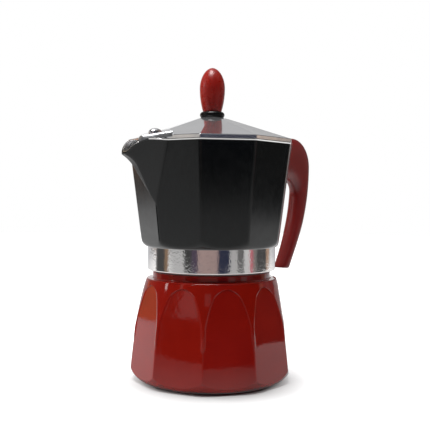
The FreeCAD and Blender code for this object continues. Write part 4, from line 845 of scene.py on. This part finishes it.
table_white = bpy.data.materials.new("table_white")
table_white.use_nodes = True
tree = table_white.node_tree
tree.nodes.clear()
on_table = wire(tree, "TexCoord", {}).outputs["Object"]
faced = wire(tree, "Mapping", {"Vector": on_table, "Rotation": (0, 0, -camera_angle)}).outputs["Vector"]
shifted = wire(tree, "Mapping", {"Vector": faced, "Location": painted_shadow_shift}).outputs["Vector"]
from_axis = wire(tree, "VectorMath", {0: on_table}, operation="LENGTH").outputs["Value"]
from_painted_shadow = wire(tree, "VectorMath", {0: shifted}, operation="LENGTH").outputs["Value"]
towards = wire(tree, "SeparateXYZ", {"Vector": faced}).outputs["X"]
# Painted light: the table's brightness in reflections, ramped along the direction towards the camera.
painted_table_light = shaded(tree, carried(tree, towards, painted_light_reach), painted_light_stops)
matt = wire(tree, "BsdfDiffuse", {"Color": matt_grey})
shade = wire(tree, "BsdfDiffuse", {"Color": shadow_grey})
# Seen straight, this glow lifts the lit table to white; near the pot it fades, painting a soft shadow on top
# of the real one.
glow = wire(tree, "Emission", {"Color": white, "Strength": carried(tree, from_painted_shadow, painted_shadow_reach)})
shown = wire(tree, "AddShader", {0: shade.outputs[0], 1: glow.outputs[0]})
# Painted shadow: the reflected table darkens towards the pot's foot.
painted_contact_shadow = carried(tree, from_axis, painted_contact_reach, (painted_contact_dark, 1.0))
mirrored = wire(tree, "Emission", {"Color": painted_table_light, "Strength": painted_contact_shadow})
ray = wire(tree, "LightPath", {}).outputs
in_mirror = any_of(tree, ray["Is Glossy Ray"], ray["Is Transmission Ray"])
choice = wire(tree, "MixShader", {0: ray["Is Camera Ray"], 1: matt.outputs[0], 2: shown.outputs[0]})
choice = wire(tree, "MixShader", {0: in_mirror, 1: choice.outputs[0], 2: mirrored.outputs[0]})
wire(tree, "OutputMaterial", {"Surface": choice.outputs[0]})
table_mesh.materials.append(table_white)

# Studio: a soft grey room with light and dark cards round the pot at the collar's height, darker walls over
# them and a bright ceiling. The backdrop behind the pot is white, and shows in its metal too. A stop is a
# bearing to the right of the camera in degrees, then a grey or a colour.
far_card = [(-180, 0.45)]
warm_card, dim_card = (-142, 0.80, 0.38, 0.19), (-142, 0.22)
round_cards = [(-114, 0.07), (-92, 0.27, 0.18, 0.12), (-81, 0.16), (-57, 0.30), (-51, 0.05),
               (-36, 0.08, 0.06, 0.09), (-24, 0.37, 0.27, 0.255), (10, 0.030, 0.034, 0.062), (31, 0.44),
               (46, 0.13), (58, 0.58), (71, 0.50, 0.14, 0.17), (78, 0.20, 0.19, 0.18), (86, 0.07),
               (113, 0.42, 0.28, 0.20), (124, 0.55)]
wall_shades = [(-180, 0.46), (-148, 0.50), (-136, 0.24, 0.20, 0.15), (-100, 0.08), (-58, 0.06),
               (-57, 0.72, 0.66, 0.58), (-52, 0.72, 0.66, 0.58), (-51, 0.06), (-42, 0.05), (-3, 0.05),
               (10, 0.028, 0.032, 0.055), (60, 0.03), (92, 0.03), (94, 0.50, 0.34, 0.22),
               (100, 0.50, 0.34, 0.22), (101, 0.03), (126, 0.15), (180, 0.46)]
below_dark, overhead_white = (0.012, 0.013, 0.016, 1), (0.85, 0.85, 0.86, 1)
card_dip, card_top, card_foot, ceiling_rise = (-0.034, -0.042), (0.085, 0.095), (-0.13, -0.16), (0.8, 0.95)
backdrop_half = math.radians(17)
world = bpy.data.worlds.new("studio")
world.use_nodes = True
bpy.context.scene.world = world
tree = world.node_tree
tree.nodes.clear()
way = wire(tree, "TexCoord", {}).outputs["Generated"]
faced = wire(tree, "Mapping", {"Vector": way, "Rotation": (0, 0, -camera_angle)}, vector_type="VECTOR")
axes = wire(tree, "SeparateXYZ", {"Vector": faced.outputs["Vector"]}).outputs
bearing = wire(tree, "Math", {0: axes["Y"], 1: axes["X"]}, operation="ARCTAN2").outputs[0]
round_share = carried(tree, bearing, (-math.pi, math.pi))


def round_room(stops, interpolation):
    """Colour ramp over the bearing from the camera, a full turn."""
    return shaded(tree, round_share, [((degrees + 180) / 360, *colour) for degrees, *colour in stops],
                  interpolation)


cards = round_room([*far_card, warm_card, *round_cards], "CONSTANT")
low_cards = round_room([*far_card, dim_card, *round_cards], "CONSTANT")
walls = round_room(wall_shades, "EASE")
room = mixed(tree, carried(tree, axes["Z"], card_dip), cards, low_cards)
room = mixed(tree, carried(tree, axes["Z"], card_top), room, walls)
room = mixed(tree, carried(tree, axes["Z"], card_foot), room, below_dark)
room = mixed(tree, carried(tree, axes["Z"], ceiling_rise), room, overhead_white)
ray = wire(tree, "LightPath", {}).outputs
behind = wire(tree, "Math", {0: axes["X"], 1: -math.cos(backdrop_half)}, operation="LESS_THAN").outputs[0]
in_mirror = any_of(tree, ray["Is Glossy Ray"], ray["Is Transmission Ray"])
backdrop = wire(tree, "Math", {0: behind, 1: in_mirror}, operation="MULTIPLY").outputs[0]
seen = mixed(tree, any_of(tree, ray["Is Camera Ray"], backdrop), room, white)
background = wire(tree, "Background", {"Color": seen, "Strength": 1.0})
wire(tree, "OutputWorld", {"Surface": background.outputs[0]})

# Lamps: large soft boxes to the left, to the right and above, and small dim ones that show only as pale
# patches in the paint, the metal and the handle.
pot_middle = (cad_box[0] + cad_box[1]) / 2


def softbox(name, bearing, elevation, distance, size, power, shine=True):
    """Area lamp aimed at the middle of the pot, at a bearing to the right of the camera; without shine
    it is left out of reflections."""
    lamp = bpy.data.lights.new(name, "AREA")
    lamp.shape = "RECTANGLE"
    lamp.size, lamp.size_y = size
    lamp.energy = power
    box = bpy.data.objects.new(name, lamp)
    box.visible_glossy = shine
    heading = camera_angle + math.radians(bearing)
    tilt = math.radians(elevation)
    away = distance * math.cos(tilt)
    box.location = (away * math.cos(heading), away * math.sin(heading),
                    pot_middle.z + distance * math.sin(tilt))
    box.rotation_euler = (math.pi / 2 - tilt, 0, heading + math.pi / 2)
    bpy.context.scene.collection.objects.link(box)


softbox("window", bearing=-100, elevation=26, distance=1.2, size=(0.9, 0.9), power=16.0, shine=False)
softbox("streak", bearing=-84, elevation=21, distance=1.2, size=(0.10, 0.24), power=0.5)
softbox("fill", bearing=70, elevation=48, distance=1.3, size=(0.5, 0.5), power=5.0, shine=False)
softbox("ceiling", bearing=-30, elevation=76, distance=1.1, size=(0.5, 0.5), power=13.0)
softbox("side_card", bearing=104, elevation=16, distance=1.2, size=(0.6, 0.4), power=0.16)
softbox("left_card", bearing=-47.0, elevation=11.1, distance=1.2, size=(0.075, 0.29), power=0.042)
softbox("front_card", bearing=-5.7, elevation=20.7, distance=1.2, size=(0.20, 0.105), power=0.022)
bpy.context.scene.view_settings.view_transform = "Standard"
